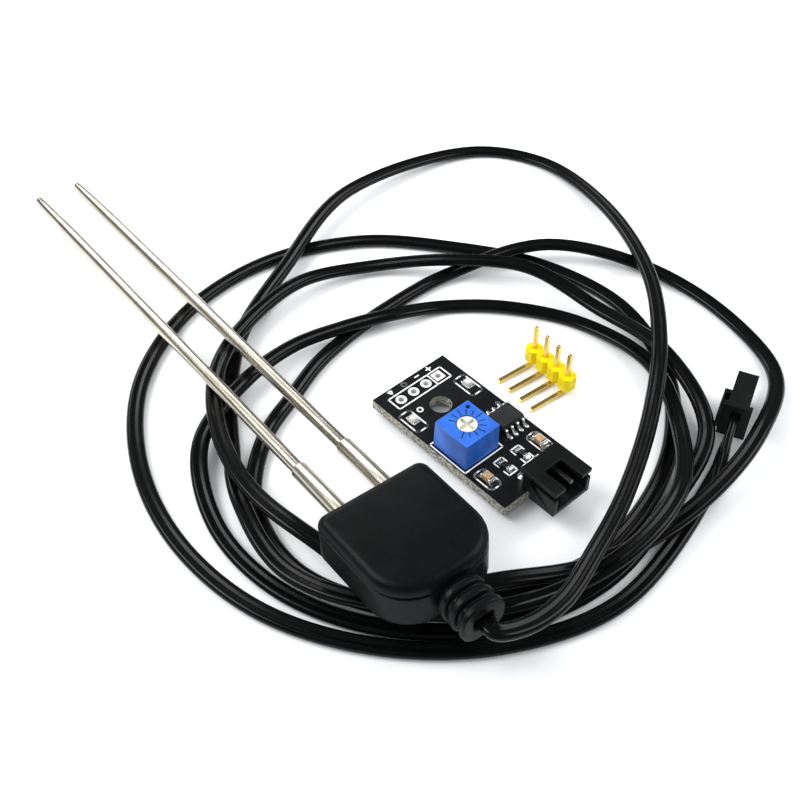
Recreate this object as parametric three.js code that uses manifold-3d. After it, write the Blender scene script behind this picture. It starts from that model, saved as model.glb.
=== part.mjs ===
// Soil moisture sensor kit: a two-needle probe on a thin twin lead with its plug,
// a comparator board with a trimmer and a lead socket, and a loose row of four header pins.
// Millimetres, +Z up, standing on z = 0. +Y runs along the needles towards their tips.
import * as THREE from 'three';
import { mergeVertices } from 'three/addons/utils/BufferGeometryUtils.js';
import Module from 'manifold-3d';

const wasm = await Module();
wasm.setup();

// ---------------------------------------------------------------- driving dimensions
// Clearances
const FIT = 0.12; // between pieces that slide into each other
const SEAT = 0.1; // under a piece that rests on another
const LEAD_GAP = 0.3; // between the lead's end and what it enters

// Probe
const PROBE_X = -16.95; // centre line of the probe
const PROBE_FRONT_Y = -37.1; // face that the needles leave
const PROBE_AXIS_Z = 8.39; // height of the needles at that face
const PROBE_TILT = 4.3; // degrees, tips down
const BODY_LENGTH = 18.2;
const BODY_WIDTH = 17.7;
const BODY_HEIGHT = 8.0;
const BODY_EDGE = 1.3; // rounding of the long edges
const BODY_FRONT_CORNER = 0.5; // plan radius inside the edge rounding
const BODY_BACK_CORNER = 5.2;
const BODY_WALL = 1.5;
const BODY_FRONT_WALL = 3.0;
const NEEDLE_SPACING = 7.5;
const NEEDLE_DIAMETER = 2.0;
const NEEDLE_TIP_DIAMETER = 1.5;
const NEEDLE_TAPER = 14;
const NEEDLE_LENGTH = 98.5; // from the front face to the tip
const NEEDLE_ROOT = 7.4; // length held inside the body
const SLEEVE_WALL = 0.22;
const SLEEVE_LENGTH = 11.6; // from the front face
const SLEEVE_ROOT = 4.2;
const HOLDER_THICKNESS = 1.4;
const SOLDER_DIAMETER = 2.3;
const SOLDER_LENGTH = 2.2;
const CORE_DIAMETER = 0.7;

// Twin lead
const LEAD_WIDTH = 2.6;
const LEAD_HEIGHT = 1.3;

// Strain relief
const RELIEF_NECK_WIDTH = 4.8;
const RELIEF_NECK_HEIGHT = 4.2;
const RELIEF_COLLAR_WIDTH = 6.8;
const RELIEF_COLLAR_HEIGHT = 6.0;
const RELIEF_COLLAR_THICKNESS = 1.1;
const RELIEF_COLLAR_PITCH = 1.9;
const RELIEF_COLLARS = 3;
const RELIEF_ROOT = 2.7; // length inside the body

// Plug
const PLUG_X = 37.95; // centre of the plug's rear face
const PLUG_Y = -53.0;
const PLUG_TURN = 29.7; // degrees from +X, towards the mating end
const PLUG_LENGTH = 8.4;
const PLUG_THICKNESS = 3.1;
const PLUG_HEIGHT = 5.8;
const PLUG_WALL = 0.7;
const FLANGE_LENGTH = 0.9;
const FLANGE_THICKNESS = 4.2;
const FLANGE_HEIGHT = 6.3;
const LATCH_THICKNESS = 0.6;
const LATCH_HEIGHT = 2.4;
const LATCH_START = 0.9;
const LATCH_LENGTH = 6.0;
const LATCH_GAP = 0.5;
const CONTACT_WIDTH = 1.3;
const CONTACT_LENGTH = 5.2;

// Board
const BOARD_X = -2.2; // the corner beside the pad row
const BOARD_Y = -17.2;
const BOARD_TURN = -84.6; // degrees, direction of the board's length
const BOARD_LENGTH = 27.9;
const BOARD_WIDTH = 14.6;
const BOARD_THICKNESS = 1.6;
const BOARD_UNDERSIDE = 1.1; // the solder tails hold it off the surface
const TAIL = 1.1; // how far leads reach below the board
const PITCH = 2.54;
const PADS = 4;
const PAD_ROW_X = 2.85;
const PAD_HOLE = 1.0;
const FIXING_HOLE = 3.4;
const FIXING_X = 7.55;
const FIXING_Y = 7.1;
const VIA_HOLE = 0.7;
const VIA_X = 6.25;
const VIA_Y = 4.0;

// Trimmer
const TRIMMER_X = 16.0;
const TRIMMER_Y = 4.05;
const TRIMMER_SIZE = 6.6;
const TRIMMER_HEIGHT = 4.75;
const TRIMMER_DRAFT = 0.2; // how much wider the base is than the top
const TRIMMER_WALL = 0.7;
const TRIMMER_TOP = 1.0;
const ROTOR_DIAMETER = 3.0;
const ROTOR_FLANGE = 4.2;
const ROTOR_FLANGE_THICKNESS = 0.9;
const ROTOR_SLOT_WIDTH = 0.62;
const ROTOR_SLOT_DEPTH = 0.8;
const ROTOR_RECESS = 0.12;
const SPINDLE_DIAMETER = 1.2;
const WIPER_DIAMETER = 3.4;
const WIPER_THICKNESS = 0.25;
const WIPER_FINGER = 2.1;
const SUBSTRATE_THICKNESS = 0.8;
const LEG_DIAMETER = 0.55;
const LEG_SPREAD = 1.9; // half the distance between the two outer legs

// Chip
const CHIP_X = 16.4;
const CHIP_Y = 11.75;
const CHIP_LENGTH = 4.6;
const CHIP_WIDTH = 3.6;
const CHIP_HEIGHT = 1.35;
const CHIP_CHAMFER = 0.22;
const CHIP_LEAD_PITCH = 1.15;
const CHIP_LEAD_WIDTH = 0.42;
const CHIP_LEAD_THICKNESS = 0.2;
const CHIP_LEAD_REACH = 1.05;

// Small parts, each length x width x height
const LED_SIZE = [2.0, 1.25, 0.95];
const CAPACITOR_SIZE = [2.0, 1.25, 0.9];
const RESISTOR_SIZE = [1.7, 0.9, 0.5];
const LED_X = 7.3;
const LED_INSET = 1.65; // from each long edge
const PASSIVE_X = 22.6;
const CAPACITOR_INSET = 1.95;
const RESISTOR_OFFSET = 1.75; // from the board's middle line

// Socket
const SOCKET_BACK_X = 26.8;
const SOCKET_LENGTH = 6.7;
const SOCKET_WIDTH = 7.4;
const SOCKET_HEIGHT = 4.8;
const SOCKET_WALL = 0.8;
const SOCKET_BACK_WALL = 1.6;
const SOCKET_WAIST = 0.75; // how far the housing draws in behind the side walls
const SOCKET_LATCH_SLOT_WIDTH = 3.3;
const SOCKET_LATCH_SLOT_LENGTH = 4.0;
const SOCKET_SIDE_SLIT = 0.9;
const SOCKET_PIN = 0.64;
const SOCKET_PIN_INSET = 1.3; // tip behind the mouth
const SOCKET_PIN_BACK = 1.3; // bend behind the housing

// Pin header
const HEADER_X = 24.4; // line of the upright pins
const HEADER_Y = -23.8; // first pin
const HEADER_TURN = -90; // degrees, direction of the row
const HEADER_BLOCK_HEIGHT = 2.5;
const HEADER_BLOCK_WIDTH = 2.5;
const HEADER_BLOCK_CHAMFER = 0.55;
const HEADER_PIN = 0.64;
const HEADER_PIN_UP = 4.25; // above the block
const HEADER_PIN_OUT = 7.2; // from the upright's centre line
const HEADER_PIN_DROP = 0.9; // from the block down to the bent leg's centre

// The lead's centre line, from the strain relief to the plug: five loose passes round the coil.
const LEAD_POINTS = [
  // out of the strain relief, then once round
  [-17, -61.35, 10.3], [-16.9, -63, 10.4], [-12.7, -64.2, 9.4], [-6.4, -63.7, 8.6], [2.5, -60.2, 7.9],
  [12.4, -55.4, 6.6], [26.8, -46.3, 5.4], [38.7, -36.4, 5.8], [51.2, -21.5, 4.5], [60.5, -0.6, 2],
  [61.2, 15.8, 0.8], [52.7, 26.3, 0.8], [24.6, 27.7, 2.9], [4, 17.2, 2], [-9, 9.4, 0.8],
  [-17.4, -0.5, 0.8], [-23.3, -10.7, 0.9], [-28.4, -22, 2.8], [-29.8, -36, 3.1], [-22.6, -48.6, 4.3],
  // second pass
  [-9.4, -54.3, 4.3], [4.1, -59.1, 2.2], [20.1, -60.9, 3.2], [38.3, -57.3, 4.3], [53.7, -47, 1.2],
  [56.3, -22, 0.8], [43.6, -5.6, 3.2], [26.3, 0.3, 1.2], [13, -0.1, 0.8], [4, -1.8, 0.8],
  [-3.4, -4.1, 0.8], [-10.3, -7.7, 0.8], [-18.7, -12.6, 0.8], [-26.3, -22, 0.8], [-28.3, -35.4, 1.5],
  [-22.3, -48.3, 2.7],
  // third pass
  [-10.5, -57.1, 2.5], [3.8, -61.9, 5.4], [19.3, -59, 5.8], [30.8, -49, 3], [37.7, -35.9, 2.2],
  [36.5, -22, 0.8], [29.1, -11.6, 0.8], [20.7, -5.3, 0.8], [11.9, -3.1, 2.2], [4, -0.9, 2.2],
  [-5.2, 0.3, 2.2], [-15.8, -2.2, 2.4], [-27.3, -9, 2.3], [-32.7, -22, 0.8], [-31.5, -36.7, 0.8],
  [-23.7, -49.7, 0.8],
  // fourth pass
  [-11.2, -58.6, 0.8], [4, -61.4, 0.8], [18.9, -57.9, 0.8], [33.9, -51.5, 2.8], [39.7, -36.8, 4.2],
  [39.8, -22, 2.4], [36.2, -8.7, 3.8], [27.3, 1.3, 3.2], [17, 9.5, 1.4], [4, 11.9, 2.9],
  [-8.7, 8.7, 2.6], [-18.7, 0.7, 3.8], [-24.6, -10.1, 3.8], [-26.7, -22, 4.3], [-24.7, -33.9, 4.4],
  [-19.2, -45.2, 0.8],
  // fifth pass, and into the plug
  [-9, -53.5, 0.8], [4, -57.8, 0.8], [17.9, -55.3, 0.8], [30.4, -48.4, 0.8], [40.2, -37, 0.8],
  [44.7, -22, 0.8], [40.9, -6.7, 0.8], [31.8, 5.8, 0.8], [20, 16.7, 0.8], [4, 21.8, 0.8],
  [-13, 19.1, 0.8], [-27.3, 9.3, 0.8], [-35.8, -5.5, 0.8], [-38.5, -22, 0.8], [-35.2, -38.2, 0.8],
  [-25.7, -51.8, 0.8], [-12.3, -61.2, 0.8], [4.3, -65.1, 0.8], [29.4, -57.7, 1.2], [33.9, -55.2, 2.6],
  [37.6, -53.2, 3.2],
];

// ---------------------------------------------------------------- solids
function solid(geometry) {
  const bare = geometry.index ? geometry.toNonIndexed() : geometry.clone();
  bare.deleteAttribute('normal');
  bare.deleteAttribute('uv');
  const merged = mergeVertices(bare, 1e-5);
  const source = merged.index.array;
  const corners = [];
  for (let i = 0; i < source.length; i += 3) {
    const [a, b, c] = [source[i], source[i + 1], source[i + 2]];
    if (a !== b && b !== c && c !== a) corners.push(a, b, c);
  }
  const mesh = new wasm.Mesh({
    numProp: 3,
    vertProperties: new Float32Array(merged.attributes.position.array),
    triVerts: new Uint32Array(corners),
  });
  return new wasm.Manifold(mesh);
}

function surface(manifold) {
  const mesh = manifold.getMesh();
  const geometry = new THREE.BufferGeometry();
  geometry.setAttribute('position', new THREE.BufferAttribute(mesh.vertProperties, 3));
  geometry.setIndex(new THREE.BufferAttribute(mesh.triVerts, 1));
  geometry.computeVertexNormals();
  return geometry;
}

function join(first, ...others) {
  return surface(others.reduce((sum, item) => sum.add(solid(item)), solid(first)));
}

function cut(first, ...others) {
  return surface(others.reduce((rest, item) => rest.subtract(solid(item)), solid(first)));
}

function box(sizeX, sizeY, sizeZ, x, y, z) {
  return new THREE.BoxGeometry(sizeX, sizeY, sizeZ).translate(x, y, z);
}

// A cylinder along +Z from z to z + height.
function rod(diameter, height, x, y, z, sides = 20) {
  const geometry = new THREE.CylinderGeometry(diameter / 2, diameter / 2, height, sides);
  return geometry.rotateX(Math.PI / 2).translate(x, y, z + height / 2);
}

// A cylinder along +Y from y to y + length.
function bar(diameter, length, x, y, z, sides = 20) {
  const geometry = new THREE.CylinderGeometry(diameter / 2, diameter / 2, length, sides);
  return geometry.translate(x, y + length / 2, z);
}

function outline(points) {
  return new THREE.Shape(points.map(([x, y]) => new THREE.Vector2(x, y)));
}

function prism(shape, depth, z = 0, curveSegments = 6) {
  return new THREE.ExtrudeGeometry(shape, { depth, bevelEnabled: false, curveSegments }).translate(0, 0, z);
}

// A profile drawn in X (outwards) and Z (up), given a width along Y.
function ribbon(points, width, y) {
  return prism(outline(points), width).rotateX(Math.PI / 2).translate(0, y + width / 2, 0);
}

// A rectangle centred on (x, y) with its own radius at each end along Y.
function roundedOutline(width, length, frontRadius, backRadius, x = 0, y = 0) {
  const [left, right] = [x - width / 2, x + width / 2];
  const [back, front] = [y - length / 2, y + length / 2];
  const shape = new THREE.Shape();
  shape.moveTo(left + backRadius, back);
  shape.lineTo(right - backRadius, back);
  shape.absarc(right - backRadius, back + backRadius, backRadius, -Math.PI / 2, 0);
  shape.lineTo(right, front - frontRadius);
  shape.absarc(right - frontRadius, front - frontRadius, frontRadius, 0, Math.PI / 2);
  shape.lineTo(left + frontRadius, front);
  shape.absarc(left + frontRadius, front - frontRadius, frontRadius, Math.PI / 2, Math.PI);
  shape.lineTo(left, back + backRadius);
  shape.absarc(left + backRadius, back + backRadius, backRadius, Math.PI, Math.PI * 1.5);
  return shape;
}

// A slab with rounded-square section across Y, from y to y + length.
function collar(width, height, radius, y, length) {
  const shape = roundedOutline(width, height, radius, radius);
  return prism(shape, length, 0, 3).rotateX(Math.PI / 2).translate(0, y + length, 0);
}

function roundHole(diameter, x, y) {
  const path = new THREE.Path();
  path.absarc(x, y, diameter / 2, 0, Math.PI * 2, true);
  return path;
}

// ---------------------------------------------------------------- materials
function finish(color, roughness, metalness) {
  return new THREE.MeshStandardMaterial({ color, roughness, metalness });
}

const SOFT_BLACK = finish(0x121314, 0.5, 0);
const LEAD_BLACK = finish(0x0b0c0c, 0.3, 0);
const STEEL = finish(0xc9c6bc, 0.22, 1);
const TIN = finish(0xc8c9c6, 0.35, 1);
const COPPER = finish(0xb8703c, 0.35, 1);
const BRASS = finish(0xb9a878, 0.3, 1);
const GOLD = finish(0xd8b24a, 0.25, 1);
const BOARD_BLACK = finish(0x0e1012, 0.4, 0);
const CHIP_BLACK = finish(0x17181a, 0.55, 0);
const BLUE = finish(0x2166d8, 0.4, 0);
const CERAMIC = finish(0xd9d4c6, 0.6, 0);
const TAN = finish(0xb98a55, 0.5, 0);
const CLEAR = finish(0xeef0ea, 0.2, 0);
const YELLOW = finish(0xf2dc1f, 0.4, 0);

function add(group, name, geometry, material) {
  const mesh = new THREE.Mesh(geometry, material);
  mesh.name = name;
  group.add(mesh);
  return mesh;
}

// ---------------------------------------------------------------- probe
const RELIEF_OUT = (RELIEF_COLLARS - 1) * RELIEF_COLLAR_PITCH + RELIEF_COLLAR_THICKNESS + 0.8;
const RELIEF_END_Y = -BODY_LENGTH - RELIEF_OUT;
const SLEEVE_DIAMETER = NEEDLE_DIAMETER + 2 * (FIT + SLEEVE_WALL);

function probeBody() {
  const plan = roundedOutline(
    BODY_WIDTH - 2 * BODY_EDGE,
    BODY_LENGTH - 2 * BODY_EDGE,
    BODY_FRONT_CORNER,
    BODY_BACK_CORNER,
    0,
    -BODY_LENGTH / 2,
  );
  const outer = new THREE.ExtrudeGeometry(plan, {
    depth: BODY_HEIGHT - 2 * BODY_EDGE,
    bevelThickness: BODY_EDGE,
    bevelSize: BODY_EDGE,
    bevelSegments: 3,
    curveSegments: 6,
  }).translate(0, 0, -BODY_HEIGHT / 2 + BODY_EDGE);
  const roomLength = BODY_LENGTH - BODY_FRONT_WALL - BODY_WALL;
  const roomCentre = -BODY_FRONT_WALL - roomLength / 2;
  const room = roundedOutline(
    BODY_WIDTH - 2 * BODY_WALL,
    roomLength,
    BODY_FRONT_CORNER,
    BODY_BACK_CORNER - BODY_WALL + BODY_EDGE,
    0,
    roomCentre,
  );
  const cavity = prism(room, BODY_HEIGHT - 2 * BODY_WALL, -BODY_HEIGHT / 2 + BODY_WALL);
  const holeDiameter = SLEEVE_DIAMETER + 2 * FIT;
  const holes = [-1, 1].map((side) =>
    bar(holeDiameter, BODY_FRONT_WALL + 2, (side * NEEDLE_SPACING) / 2, -BODY_FRONT_WALL - 1, 0),
  );
  const exit = collar(
    RELIEF_NECK_WIDTH + 2 * FIT,
    Math.min(RELIEF_NECK_HEIGHT + 2 * FIT, BODY_HEIGHT - 2),
    1,
    -BODY_LENGTH - 1,
    BODY_WALL + 2,
  );
  return cut(outer, cavity, ...holes, exit);
}

function strainRelief() {
  const neckStart = RELIEF_END_Y;
  const neckLength = RELIEF_OUT + BODY_WALL + RELIEF_ROOT;
  const neck = collar(RELIEF_NECK_WIDTH, RELIEF_NECK_HEIGHT, 1, neckStart, neckLength);
  const rings = [];
  for (let i = 0; i < RELIEF_COLLARS; i += 1) {
    const y = RELIEF_END_Y + i * RELIEF_COLLAR_PITCH;
    rings.push(collar(RELIEF_COLLAR_WIDTH, RELIEF_COLLAR_HEIGHT, 1.8, y, RELIEF_COLLAR_THICKNESS));
  }
  const bore = box(
    LEAD_WIDTH + 2 * LEAD_GAP,
    neckLength + 2,
    LEAD_HEIGHT + 2 * LEAD_GAP,
    0,
    neckStart + neckLength / 2,
    0,
  );
  return cut(join(neck, ...rings), bore);
}

function needle() {
  const [radius, tip, end] = [NEEDLE_DIAMETER / 2, NEEDLE_TIP_DIAMETER / 2, NEEDLE_LENGTH];
  const profile = [
    [0, -NEEDLE_ROOT],
    [radius, -NEEDLE_ROOT],
    [radius, end - NEEDLE_TAPER],
    [tip, end - tip * 0.6],
    [tip * 0.75, end - tip * 0.2],
    [tip * 0.35, end],
    [0, end],
  ];
  return new THREE.LatheGeometry(profile.map(([r, y]) => new THREE.Vector2(r, y)), 24);
}

function needleSleeve() {
  const [inner, outer] = [NEEDLE_DIAMETER / 2 + FIT, SLEEVE_DIAMETER / 2];
  const profile = [
    [inner, -SLEEVE_ROOT],
    [outer, -SLEEVE_ROOT],
    [outer, SLEEVE_LENGTH],
    [inner, SLEEVE_LENGTH],
    [inner, -SLEEVE_ROOT],
  ];
  return new THREE.LatheGeometry(profile.map(([r, y]) => new THREE.Vector2(r, y)), 24);
}

function needleHolder() {
  const width = BODY_WIDTH - 2 * BODY_WALL - 2 * FIT;
  const height = BODY_HEIGHT - 2 * BODY_WALL - 2 * FIT;
  const y = -SLEEVE_ROOT - FIT - HOLDER_THICKNESS;
  const plate = collar(width, height, 0.5, y, HOLDER_THICKNESS);
  const holes = [-1, 1].map((side) =>
    bar(NEEDLE_DIAMETER + 2 * FIT, HOLDER_THICKNESS + 2, (side * NEEDLE_SPACING) / 2, y - 1, 0),
  );
  return cut(plate, ...holes);
}

// The solder cup joins the needle's root to its core.
function solderJoint() {
  const cup = bar(SOLDER_DIAMETER, SOLDER_LENGTH, 0, -NEEDLE_ROOT - SOLDER_LENGTH + 0.8, 0, 16);
  const root = bar(NEEDLE_DIAMETER + 2 * FIT, SOLDER_LENGTH, 0, -NEEDLE_ROOT - FIT, 0);
  const core = bar(CORE_DIAMETER + 2 * FIT, SOLDER_LENGTH, 0, -NEEDLE_ROOT - 2 * SOLDER_LENGTH + 1.4, 0);
  return cut(cup, root, core);
}

// A bare core bends from the lead's own core over to its needle.
function core(side) {
  const needleX = (side * NEEDLE_SPACING) / 2;
  const leadX = (side * LEAD_WIDTH) / 4;
  const startY = -BODY_LENGTH + BODY_WALL + RELIEF_ROOT - 0.4;
  const endY = -NEEDLE_ROOT - 1.0;
  const route = new THREE.CatmullRomCurve3([
    new THREE.Vector3(leadX, startY, 0),
    new THREE.Vector3(leadX * 1.1, startY + 1.2, 0),
    new THREE.Vector3(needleX * 0.9, endY - 2.4, 0),
    new THREE.Vector3(needleX, endY - 1.2, 0),
    new THREE.Vector3(needleX, endY, 0),
  ]);
  const section = new THREE.Shape();
  section.absarc(0, 0, CORE_DIAMETER / 2, 0, Math.PI * 2);
  return new THREE.ExtrudeGeometry(section, { steps: 10, curveSegments: 8, extrudePath: route });
}

function buildProbe() {
  const probe = new THREE.Group();
  probe.position.set(PROBE_X, PROBE_FRONT_Y, PROBE_AXIS_Z);
  probe.rotation.x = THREE.MathUtils.degToRad(-PROBE_TILT);
  add(probe, 'probe_body', probeBody(), SOFT_BLACK);
  add(probe, 'strain_relief', strainRelief(), SOFT_BLACK);
  add(probe, 'needle_holder', needleHolder(), CERAMIC);
  for (const [name, side] of [['left', -1], ['right', 1]]) {
    const x = (side * NEEDLE_SPACING) / 2;
    add(probe, `needle_${name}`, needle(), STEEL).position.x = x;
    add(probe, `needle_sleeve_${name}`, needleSleeve(), STEEL).position.x = x;
    add(probe, `solder_joint_${name}`, solderJoint(), TIN).position.x = x;
    add(probe, `core_${name}`, core(side), COPPER);
  }
  return probe;
}

// ---------------------------------------------------------------- lead and plug
// A route through the lead's points with one step from each point to the next.
class LeadRoute extends THREE.Curve {
  getPoint(t, target = new THREE.Vector3()) {
    const place = t * (LEAD_POINTS.length - 1);
    const index = Math.min(Math.floor(place), LEAD_POINTS.length - 2);
    const [from, to] = [LEAD_POINTS[index], LEAD_POINTS[index + 1]];
    return target.fromArray(from).lerp(new THREE.Vector3(...to), place - index);
  }

  getPointAt(t, target) {
    return this.getPoint(t, target);
  }

  getTangentAt(t, target = new THREE.Vector3()) {
    const near = 0.5 / (LEAD_POINTS.length - 1);
    const ahead = this.getPoint(Math.min(t + near, 1));
    return target.copy(ahead).sub(this.getPoint(Math.max(t - near, 0))).normalize();
  }

  // The lead lies flat: its broad side stays level all the way.
  computeFrenetFrames(segments) {
    const up = new THREE.Vector3(0, 0, 1);
    const frames = { tangents: [], normals: [], binormals: [] };
    for (let i = 0; i <= segments; i += 1) {
      const tangent = this.getTangentAt(i / segments);
      const across = new THREE.Vector3().crossVectors(tangent, up).normalize();
      frames.tangents.push(tangent);
      frames.binormals.push(across);
      frames.normals.push(new THREE.Vector3().crossVectors(across, tangent));
    }
    return frames;
  }
}

function lead() {
  const [halfHeight, halfWidth] = [LEAD_HEIGHT / 2, LEAD_WIDTH / 2];
  const flat = halfWidth - halfHeight * 0.6;
  const section = outline([
    [-halfHeight, -flat],
    [-halfHeight * 0.55, -halfWidth],
    [halfHeight * 0.55, -halfWidth],
    [halfHeight, -flat],
    [halfHeight, flat],
    [halfHeight * 0.55, halfWidth],
    [-halfHeight * 0.55, halfWidth],
    [-halfHeight, flat],
  ]);
  return new THREE.ExtrudeGeometry(section, {
    steps: LEAD_POINTS.length - 1,
    curveSegments: 1,
    extrudePath: new LeadRoute(),
  });
}

// The plug lies on its narrow side: x runs from its rear face to the mating end, z is its width.
function plugHousing() {
  const middle = FLANGE_HEIGHT / 2;
  const front = box(PLUG_LENGTH, PLUG_THICKNESS, PLUG_HEIGHT, PLUG_LENGTH / 2, 0, middle);
  const flange = box(FLANGE_LENGTH, FLANGE_THICKNESS, FLANGE_HEIGHT, FLANGE_LENGTH / 2, 0, middle);
  const latchY = PLUG_THICKNESS / 2 + LATCH_GAP + LATCH_THICKNESS / 2;
  const arm = box(
    LATCH_LENGTH, LATCH_THICKNESS, LATCH_HEIGHT,
    LATCH_START + LATCH_LENGTH / 2 - 1.8, latchY, middle,
  );
  const bridge = box(
    1.2, LATCH_GAP + LATCH_THICKNESS, LATCH_HEIGHT,
    LATCH_START + LATCH_LENGTH - 2.4, latchY - LATCH_GAP / 2 - 0.02, middle,
  );
  const cells = [-1, 1].map((side) =>
    box(
      PLUG_LENGTH + 2, PLUG_THICKNESS - 2 * PLUG_WALL, CONTACT_WIDTH + 2 * FIT + 0.2,
      PLUG_LENGTH / 2, 0, middle + (side * PITCH) / 2,
    ),
  );
  const windows = [-1, 1].map((side) =>
    box(2.0, PLUG_THICKNESS, CONTACT_WIDTH * 0.8, LATCH_START + 1.6, PLUG_THICKNESS / 2, middle + (side * PITCH) / 2),
  );
  return cut(join(front, flange, arm, bridge), ...cells, ...windows);
}

function plugContact(side) {
  const z = FLANGE_HEIGHT / 2 + (side * PITCH) / 2;
  const height = PLUG_THICKNESS - 2 * PLUG_WALL - 2 * FIT;
  const shell = box(CONTACT_LENGTH, height, CONTACT_WIDTH, PLUG_LENGTH - CONTACT_LENGTH / 2 - 0.8, 0, z);
  const bore = box(CONTACT_LENGTH, height - 0.5, CONTACT_WIDTH - 0.5, PLUG_LENGTH - CONTACT_LENGTH / 2 + 0.4, 0, z);
  return cut(shell, bore);
}

function buildPlug() {
  const plug = new THREE.Group();
  plug.position.set(PLUG_X, PLUG_Y, 0);
  plug.rotation.z = THREE.MathUtils.degToRad(PLUG_TURN);
  add(plug, 'plug_housing', plugHousing(), SOFT_BLACK);
  add(plug, 'plug_contact_lower', plugContact(-1), TIN);
  add(plug, 'plug_contact_upper', plugContact(1), TIN);
  return plug;
}

// ---------------------------------------------------------------- board
const BOARD_TOP = BOARD_UNDERSIDE + BOARD_THICKNESS;
const PAD_FIRST_Y = (BOARD_WIDTH - (PADS - 1) * PITCH) / 2 - 0.2;
const SOCKET_Y = BOARD_WIDTH / 2 + 0.1;
const SOCKET_PIN_X = SOCKET_BACK_X - SOCKET_PIN_BACK;
const LEGS = [
  [LEG_SPREAD, -LEG_SPREAD],
  [-LEG_SPREAD, 0],
  [LEG_SPREAD, LEG_SPREAD],
];

function circuitBoard() {
  const shape = outline([[0, 0], [BOARD_LENGTH, 0], [BOARD_LENGTH, BOARD_WIDTH], [0, BOARD_WIDTH]]);
  for (let i = 0; i < PADS; i += 1) {
    shape.holes.push(roundHole(PAD_HOLE, PAD_ROW_X, PAD_FIRST_Y + i * PITCH));
  }
  shape.holes.push(roundHole(FIXING_HOLE, FIXING_X, FIXING_Y));
  shape.holes.push(roundHole(VIA_HOLE, VIA_X, VIA_Y));
  for (const [x, y] of LEGS) {
    shape.holes.push(roundHole(LEG_DIAMETER + 0.4, TRIMMER_X + x, TRIMMER_Y + y));
  }
  for (const side of [-1, 1]) {
    shape.holes.push(roundHole(SOCKET_PIN * 1.42 + 0.3, SOCKET_PIN_X, SOCKET_Y + (side * PITCH) / 2));
  }
  return prism(shape, BOARD_THICKNESS, BOARD_UNDERSIDE, 12);
}

// Heights inside the trimmer, from the board up
const TRIMMER_FLOOR = BOARD_TOP + SEAT;
const TRIMMER_CEILING = TRIMMER_FLOOR + TRIMMER_HEIGHT - TRIMMER_TOP;
const SUBSTRATE_FLOOR = TRIMMER_FLOOR + 0.2;
const LEG_HEAD = SUBSTRATE_FLOOR + SUBSTRATE_THICKNESS + 0.15;
const FLANGE_FLOOR = TRIMMER_CEILING - FIT - ROTOR_FLANGE_THICKNESS;
const WIPER_FLOOR = FLANGE_FLOOR - FIT - WIPER_THICKNESS;

function trimmerCase() {
  const outer = box(TRIMMER_SIZE, TRIMMER_SIZE, TRIMMER_HEIGHT, 0, 0, TRIMMER_HEIGHT / 2);
  const place = outer.attributes.position;
  for (let i = 0; i < place.count; i += 1) {
    const grow = place.getZ(i) < TRIMMER_HEIGHT / 2 ? 1 + TRIMMER_DRAFT / TRIMMER_SIZE : 1;
    place.setXY(i, place.getX(i) * grow, place.getY(i) * grow);
  }
  const room = TRIMMER_SIZE - 2 * TRIMMER_WALL;
  const depth = TRIMMER_HEIGHT - TRIMMER_TOP;
  const cavity = box(room, room, depth + 1, 0, 0, (depth - 1) / 2);
  const hole = rod(ROTOR_DIAMETER + 2 * FIT, TRIMMER_TOP + 1, 0, 0, depth - 0.5, 28);
  return cut(outer, cavity, hole).translate(TRIMMER_X, TRIMMER_Y, TRIMMER_FLOOR);
}

function trimmerRotor() {
  const top = TRIMMER_FLOOR + TRIMMER_HEIGHT - ROTOR_RECESS;
  const head = rod(ROTOR_DIAMETER, top - FLANGE_FLOOR - 0.1, 0, 0, FLANGE_FLOOR + 0.1, 28);
  const flange = rod(ROTOR_FLANGE, ROTOR_FLANGE_THICKNESS, 0, 0, FLANGE_FLOOR, 28);
  const spindleFoot = WIPER_FLOOR - 0.15;
  const spindle = rod(SPINDLE_DIAMETER, FLANGE_FLOOR + 0.2 - spindleFoot, 0, 0, spindleFoot, 16);
  const slots = [0, 1].map((turn) =>
    box(ROTOR_DIAMETER * 0.86, ROTOR_SLOT_WIDTH, ROTOR_SLOT_DEPTH * 2, 0, 0, top).rotateZ((turn * Math.PI) / 2),
  );
  return cut(join(flange, head, spindle), ...slots).translate(TRIMMER_X, TRIMMER_Y, 0);
}

function trimmerWiper() {
  const disc = rod(WIPER_DIAMETER, WIPER_THICKNESS, 0, 0, WIPER_FLOOR, 24);
  const finger = box(0.6, WIPER_FINGER, WIPER_THICKNESS, 0, WIPER_FINGER / 2, WIPER_FLOOR + WIPER_THICKNESS / 2);
  const hole = rod(SPINDLE_DIAMETER + 2 * FIT, 2, 0, 0, WIPER_FLOOR - 1, 16);
  return cut(join(disc, finger), hole).translate(TRIMMER_X, TRIMMER_Y, 0);
}

function trimmerSubstrate() {
  const half = TRIMMER_SIZE / 2 - TRIMMER_WALL - FIT;
  const shape = outline([[-half, -half], [half, -half], [half, half], [-half, half]]);
  for (const [x, y] of LEGS) {
    shape.holes.push(roundHole(LEG_DIAMETER + 2 * FIT, x, y));
  }
  return prism(shape, SUBSTRATE_THICKNESS, SUBSTRATE_FLOOR).translate(TRIMMER_X, TRIMMER_Y, 0);
}

function trimmerLeg([x, y]) {
  const foot = BOARD_UNDERSIDE - TAIL;
  return rod(LEG_DIAMETER, LEG_HEAD - foot, TRIMMER_X + x, TRIMMER_Y + y, foot, 10);
}

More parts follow.
